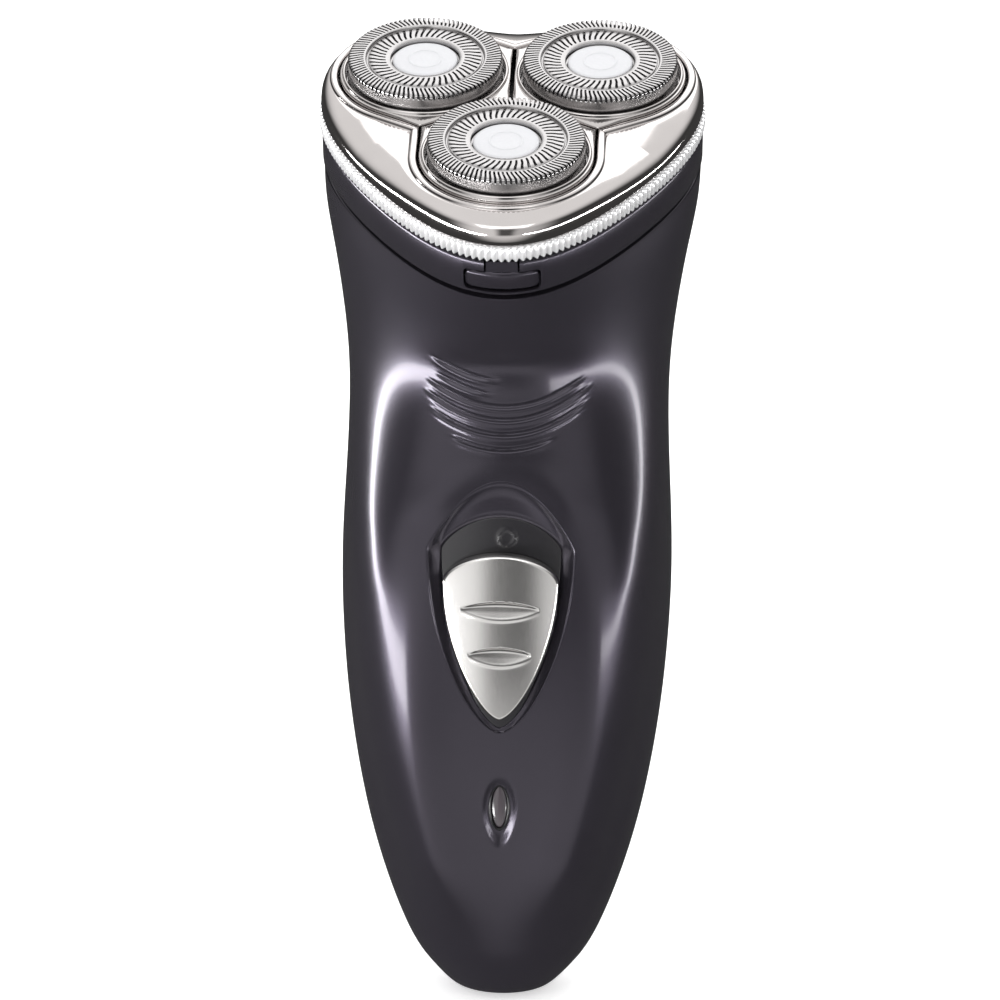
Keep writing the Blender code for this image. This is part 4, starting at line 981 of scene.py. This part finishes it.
# share of the way in from the rim to the lip, and height
plate_slope = (
    (0.0, 9.35), (0.0, 10.0), (0.012, 10.7), (0.05, 11.3), (0.12, 11.8), (0.22, 12.15), (0.36, 12.45),
    (0.52, 12.68), (0.7, 12.86), (0.86, 12.95), (0.97, 12.98), (1.0, 12.99),
)
plate_rings = [(plate_rim - 1.0, 9.15), (plate_rim - 0.15, 9.15)]
plate_rings += [(plate_rim + (lip_edge - plate_rim) * share, w) for share, w in plate_slope]
plate_rings += [(lip_edge - 0.04, 13.22), (lip_edge - 0.16, 13.38), (lip_edge - 0.34, 13.45),
                (lip_inner + 0.28, 13.45), (lip_inner + 0.1, 13.38), (lip_inner, 13.2), (lip_inner, 12.0),
                (lip_edge + 0.2, 11.9), (lip_edge * 0.4 + plate_rim * 0.6 - 0.8, 11.2), (plate_rim - 1.3, 10.3)]


plate_rings = [from_head(radii * np.cos(plate_angles), radii * np.sin(plate_angles), w)
               for radii, w in plate_rings]
add_piece("plate", swept_ring("plate", plate_rings), chrome, "shaving_unit",
          ("head_plate",))

# ---- Pods
# Three plated thirds of the top. Each is bored for its guard, with a raised ring round the bore, and
# tilts on its own against the spring below.


def in_sector(number):
    """Where a shaving head's own frame stands: Z up its axis, at the middle of its guard."""
    turned = HEAD_FRAME @ Matrix.Rotation(math.radians(120 * number), 4, "Z")
    return turned @ Matrix.Translation((0, -HEAD_RADIUS * MM, 0))


def on_each_head(piece, data, finish, body, node, smooth_angle=None):
    """Puts a copy of a mesh on each of the three shaving heads, in place of the head's own node."""
    for number, side in enumerate(("front", "right", "left")):
        made = add_piece(f"{piece}_{side}", data.copy(), finish, f"{body}_{side}", (f"{node}_{side}",),
                         in_sector(number))
        if smooth_angle:
            settle(made, smooth_angle)


pod_chrome = plated("pod_chrome", (0.58, 0.555, 0.545), (0.68, 0.655, 0.645), 0.07)
POD_COLUMNS = 480
pod_angles = np.linspace(0, 2 * math.pi, POD_COLUMNS, endpoint=False) - math.pi / 2
tip = -POD_GAP / 2 / math.cos(math.radians(30))
shoulder = tip - POD_RADIUS * math.tan(math.radians(30))
pod_turn = np.linspace(math.pi, 2 * math.pi, 200)
pod_line = [(POD_RADIUS * math.cos(a), POD_RADIUS * math.sin(a)) for a in pod_turn]
pod_line += [(x, y + HEAD_RADIUS) for x, y in ((POD_RADIUS, shoulder), (0.0, tip), (-POD_RADIUS, shoulder))]
pod_edge = radius_at(pod_line, pod_angles)
BORE = 12.55
pod_rings = [(np.full(POD_COLUMNS, r), w) for r, w in (
    (13.0, 10.9), (13.0, 12.45), (BORE, 12.5), (BORE, 13.9), (BORE + 0.06, 14.05), (BORE + 0.2, 14.12),
    (BORE + 0.36, 14.08), (BORE + 0.47, 13.95), (BORE + 0.5, 13.72), (BORE + 0.54, 13.66),
)]
pod_rings += [(pod_edge + (BORE + 0.56 - pod_edge) * share, w) for share, w in (
    (0.75, 13.68), (0.4, 13.62), (0.15, 13.52),
)]
pod_rings += [(pod_edge - drop, w) for drop, w in (
    (0.14, 13.44), (0.04, 13.34), (0.0, 13.18), (0.0, 12.2), (0.0, 10.9),
)]
pod_mesh = swept_ring("pod", [
    np.stack([radii * np.cos(pod_angles), radii * np.sin(pod_angles), np.full(POD_COLUMNS, w)], -1)
    for radii, w in pod_rings
])
on_each_head("pod_top", pod_mesh, pod_chrome, "pod_holder", "pod")

# ---- Guards
# Thin steel cups. The outer track has slots that run over its edge, the inner one is a little lower, and
# a plain dish in the middle takes the white cap.

steel = Finish("turned_steel", Metallic=1.0)
steel_place = steel.place()
steel_flat = steel.stretched(steel_place, (1.0, 1.0, 0.0))
steel_radius = steel.node("VectorMath", {"operation": "LENGTH"}, {0: steel_flat}, 1)
turning = steel.node("TexNoise", {"noise_dimensions": "1D"}, {
    "W": steel_radius, "Scale": 9000.0, "Detail": 2.0,
})
steel_haze = steel.noise(steel_place, 300.0, 2.0)
steel.set(Base_Color=steel.mix(steel_haze, (0.43, 0.42, 0.42), (0.54, 0.53, 0.53)),
          Roughness=0.17 + turning * 0.14)
steel.bump(turning, 0.012, 0.3)
GUARD_COLUMNS, GUARD_SKIN = 576, 0.32
# radius and height of each ring, and the kind of slots between it and the next
guard_profile = (
    (1.6, 15.4, 0), (5.28, 15.4, 0), (5.38, 15.46, 0), (5.42, 15.62, 0), (5.42, 16.05, 0), (5.47, 16.2, 0),
    (5.6, 16.27, 0), (6.2, 16.28, 1), (7.1, 16.28, 1), (8.0, 16.28, 1), (8.8, 16.26, 0), (8.92, 16.2, 0),
    (9.0, 15.98, 0), (9.16, 15.98, 0), (9.24, 16.36, 0), (9.34, 16.47, 0), (9.5, 16.5, 0), (9.65, 16.5, 2),
    (10.3, 16.5, 2), (11.0, 16.5, 2), (11.7, 16.5, 2), (11.9, 16.45, 2), (12.04, 16.31, 2), (12.1, 16.1, 2),
    (12.1, 15.75, 0), (12.1, 15.2, 0), (12.1, 14.0, 0), (12.1, 12.5, 0), (12.2, 12.3, 0), (12.7, 12.3, 0),
)


def perforated(name, outer, inner, solid):
    """The closed wall between two ring grids, open where solid is false: solid holds one value a face."""
    rows, columns = outer.shape[:2]
    k = np.arange(rows * columns).reshape(rows, columns)
    after = np.roll(k, -1, 1)
    count = rows * columns
    cells = np.stack([k[:-1], after[:-1], after[1:], k[1:]], -1)
    faces = cells[solid].tolist() + (cells[solid][:, ::-1] + count).tolist()
    padded = np.zeros((rows + 1, columns), bool)
    padded[1:-1] = solid
    lower, upper = padded[:-1], padded[1:]
    for row, column in np.argwhere(lower != upper):
        a, b = k[row, column], after[row, column]
        faces.append([b, a, a + count, b + count] if upper[row, column] else [a, b, b + count, a + count])
    before = np.roll(solid, 1, 1)
    for row, column in np.argwhere(before != solid):
        a, b = k[row, column], k[row + 1, column]
        faces.append([a, b, b + count, a + count] if solid[row, column] else [b, a, a + count, b + count])
    return mesh_of(name, np.concatenate([outer.reshape(-1, 3), inner.reshape(-1, 3)]), faces)


profile = np.array(guard_profile)
run = np.gradient(profile[:, :2], axis=0)
run /= np.hypot(*run.T)[:, None]
inside = profile[:, :2] + np.stack([run[:, 1], -run[:, 0]], -1) * GUARD_SKIN
slant = 0.055 * smooth_step(9.4, 12.1, profile[:, 0]) - 0.10 * smooth_step(6.1, 8.9, profile[:, 0])
columns = np.arange(GUARD_COLUMNS)
grids = []
for pairs in (profile[:, :2], inside):
    turn = columns * 2 * math.pi / GUARD_COLUMNS + slant[:, None]
    radii, heights = pairs[:, :1], np.broadcast_to(pairs[:, 1:], turn.shape)
    grids.append(np.stack([radii * np.cos(turn), radii * np.sin(turn), heights], -1))
kinds = profile[:-1, 2][:, None]
closed_cell = (kinds == 0) | ((kinds == 1) & (columns % 12 >= 5)) | ((kinds == 2) & (columns % 6 >= 3))
guard_mesh = perforated("guard", *grids, closed_cell)
on_each_head("slotted_guard", guard_mesh, steel, "guard_cup", "guard", 40)

# ---- Guard caps
# White snap-in discs, each with a shallow moulded ring, on a stem through the guard.

white = grained("white_cap", (0.83, 0.84, 0.87), (0.90, 0.91, 0.94), 0.34, 0.14, 1800.0, 3.0, 0.02, 0.3,
                Specular_IOR_Level=0.4)
# radius and height, from the top of the disc's axis round to the foot of its stem
cap_profile = (
    (0.0, 16.02), (1.2, 16.02), (2.2, 16.02), (2.32, 16.05), (2.42, 16.12), (2.62, 16.12), (2.72, 16.05),
    (2.84, 16.02), (4.2, 16.0), (4.72, 15.97), (4.95, 15.9), (5.07, 15.78), (5.1, 15.62), (5.0, 15.6),
    (1.3, 15.6), (1.3, 14.6), (0.0, 14.6),
)
CAP_COLUMNS = 120
cap_turn = np.linspace(0, 2 * math.pi, CAP_COLUMNS, endpoint=False)
cap_grid = np.array([[(r * math.cos(a), r * math.sin(a), w) for a in cap_turn] for r, w in cap_profile])
cap_mesh = mesh_of("cap", cap_grid, grid_faces(len(cap_profile), CAP_COLUMNS, 0, True))
on_each_head("white_cap", cap_mesh, white, "guard_cup", "guard_cap", 35)

# ---- Trimmer door
# A charcoal flap in the back of the handle, flush with the skin, on a barrel along its lower edge.

door_x = TRIMMER_HALF * np.concatenate([
    [-1, -0.995, -0.985, -0.97], np.linspace(-0.94, 0.94, 60), [0.97, 0.985, 0.995, 1],
])
door_z = np.concatenate([np.linspace(TRIMMER_Z + 0.6, TRIMMER_TOP - 0.7, 56),
                         TRIMMER_TOP - np.array((0.4, 0.2, 0.07, 0.0))])
skin_points = np.array([[(x, rear_y(x, z), z) for x in door_x] for z in door_z])
# where the skin is cut short by the rim, the flap keeps to its own plane
skin_points[skin_points[..., 1] < 20, 1] = 27.0
FLAP_ROUNDING, RIB_PITCH, RIB_DEPTH = 0.4, 1.3, 0.22
flap_across, flap_up = np.abs(skin_points[..., 0]), skin_points[..., 2]
round_x = np.clip((flap_across - (TRIMMER_HALF - FLAP_ROUNDING)) / FLAP_ROUNDING, 0, 1)
round_z = np.clip((flap_up - (TRIMMER_TOP - FLAP_ROUNDING)) / FLAP_ROUNDING, 0, 1)
rounded = FLAP_ROUNDING - FLAP_ROUNDING * np.sqrt(1 - np.maximum(round_x, round_z) ** 2)
ribs = RIB_DEPTH * np.clip(np.sin((flap_up - 124.4) * 2 * math.pi / RIB_PITCH), 0, 1)
ribs *= smooth_step(8.2, 7.4, flap_across) * smooth_step(124.2, 124.6, flap_up)
ribs *= smooth_step(128.7, 128.3, flap_up)
door_out = skin_points.copy()
door_out[..., 1] += -0.05 - rounded - ribs
door_in = skin_points.copy()
door_in[..., 1] = TRIMMER_Y - 0.35
door = add_piece("trimmer_flap", walled_mesh("trimmer_flap", door_out, door_in), charcoal, "trimmer",
                 ("trimmer_door",))


def facing_side(y, z, depth):
    return (depth, y, z)


barrel = prism_cutter(circle(1.85, TRIMMER_Y, TRIMMER_Z, 40), -TRIMMER_HALF, TRIMMER_HALF, facing_side)
apply_booleans(door, "UNION", [barrel])
apply_booleans(door, "DIFFERENCE", [prism_cutter(circle(0.8, TRIMMER_Y, TRIMMER_Z, 20), -20, 20, facing_side)])
settle(door, 40)

# ---- Trimmer catch
# A small thumb slide below the flap, with grip ribs across it.

dark_satin = grained("dark_satin", (0.012, 0.011, 0.014), (0.018, 0.017, 0.021), 0.42, 0.15, 2100.0, 3.0,
                     0.02, 0.4, Specular_IOR_Level=0.45)
pad_x = np.concatenate([[-2.7, -2.66, -2.55], np.linspace(-2.35, 2.35, 24), [2.55, 2.66, 2.7]])
pad_z = SLIDE_MIDDLE + np.linspace(-2.8, 2.8, 150)
px, pz = np.meshgrid(pad_x, pad_z)
PAD_FACE, PAD_ROUNDING, PAD_RIB_PITCH = 28.05, 0.4, 1.05
up = pz - SLIDE_MIDDLE
edge = np.maximum(*[np.clip((np.abs(off) - flat) / PAD_ROUNDING, 0, 1) for off, flat in ((px, 2.3), (up, 2.4))])
height = PAD_FACE - PAD_ROUNDING + PAD_ROUNDING * np.sqrt(1 - edge**2)
pad_ribs = (0.5 + 0.5 * np.cos(up * 2 * math.pi / PAD_RIB_PITCH)) ** 1.5
height -= 0.30 * pad_ribs * smooth_step(2.3, 1.9, np.abs(up))
pad = walled_mesh("catch_pad", np.stack([px, height, pz], -1), np.stack([px, np.full_like(px, 24.2), pz], -1))
catch = add_piece("catch_pad", pad, dark_satin, "trimmer_catch", ("trimmer_slide",))
FOOT_HALF = 4.4
foot_line = rounded_box(-FOOT_HALF, FOOT_HALF, SLIDE_MIDDLE - FOOT_HALF, SLIDE_MIDDLE + FOOT_HALF, 0.5)
apply_booleans(catch, "UNION", [prism_cutter(foot_line, 22.4, 24.4, facing_rear)])
settle(catch, 40)

# ---- Inner pieces
# What shows when the head is opened, or through a gap: gears, motor, cells, board, and the frames that
# carry them. They keep their own shapes, with their edges rounded a little and their own materials.


def moulded(name, low, high, rough, grain_size=1700.0, depth=0.03, **extra):
    """A plain moulded or drawn surface with its own grain."""
    made = Finish(name, **extra)
    where = made.place()
    grain = made.noise(where, grain_size, 3.0)
    cloud = made.noise(where, 70.0, 2.0)
    made.set(Base_Color=made.mix(grain * 0.5 + cloud * 0.5, low, high), Roughness=rough + grain * 0.12)
    made.bump(grain, depth, 0.4)
    return made


inner_black = moulded("inner_black", (0.016, 0.016, 0.018), (0.028, 0.028, 0.031), 0.45)
nylon = moulded("gear_nylon_white", (0.72, 0.71, 0.65), (0.82, 0.81, 0.76), 0.42)
brass = moulded("turned_brass", (0.62, 0.44, 0.17), (0.74, 0.56, 0.26), 0.22, 2600.0, 0.01, Metallic=1.0)
bare_steel = moulded("bare_steel", (0.46, 0.46, 0.47), (0.60, 0.60, 0.61), 0.22, 2600.0, 0.01, Metallic=1.0)
green_wrap = moulded("cell_wrap", (0.02, 0.16, 0.07), (0.035, 0.22, 0.10), 0.26, 900.0, 0.03, Coat_Weight=0.3)
resist = Finish("solder_resist", Coat_Weight=0.35, Coat_Roughness=0.2)
resist_place = resist.place()
tracks = resist.node("TexBrick", {}, {
    "Vector": resist.node("Mapping", {}, {"Vector": resist_place, "Rotation": (math.pi / 2, 0.0, 0.0)}),
    "Color1": (0.012, 0.10, 0.035), "Color2": (0.016, 0.13, 0.05), "Mortar": (0.03, 0.22, 0.09),
    "Scale": 330.0, "Mortar Size": 0.04,
})
resist_grain = resist.noise(resist_place, 1500.0, 2.0)
resist.set(Base_Color=tracks, Roughness=0.36 + resist_grain * 0.12)
resist.bump(resist_grain, 0.02, 0.3)

dressed = {
    inner_black: ("pod_frame", "retaining_frame", "retaining_knob", "drive_deck", "trimmer_well",
                  "motor_end_cap", "switch_carriage", "drive_spindle_", "inlet_"),
    nylon: ("spindle_gear_",),
    brass: ("motor_pinion", "inlet_pin"),
    green_wrap: ("battery_",),
    resist: ("circuit_board",),
    bare_steel: ("gear_bracket", "motor_can", "motor_rotor", "hinge_pin", "trimmer_pin", "trimmer_comb",
                 "trimmer_blade", "cutter_", "shell_screw_", "spindle_spring_", "release_spring",
                 "battery_tab"),
    lens_glass: ("charge_led",),
}
for name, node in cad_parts.items():
    found = [(len(stem), finish) for finish, stems in dressed.items()
             for stem in stems if name.startswith(stem)]
    if not found:
        continue
    # the longest beginning that fits the name decides
    finish = max(found, key=lambda pair: pair[0])[1]
    for material_slot in node.material_slots:
        material_slot.material = finish.material
    weld = node.modifiers.new("weld", "WELD")
    weld.merge_threshold = 1e-6
    if "spring" not in name:
        edge = node.modifiers.new("rounded_edges", "BEVEL")
        edge.width, edge.segments, edge.limit_method = 0.08 * MM, 2, "ANGLE"
        edge.angle_limit = math.radians(40)
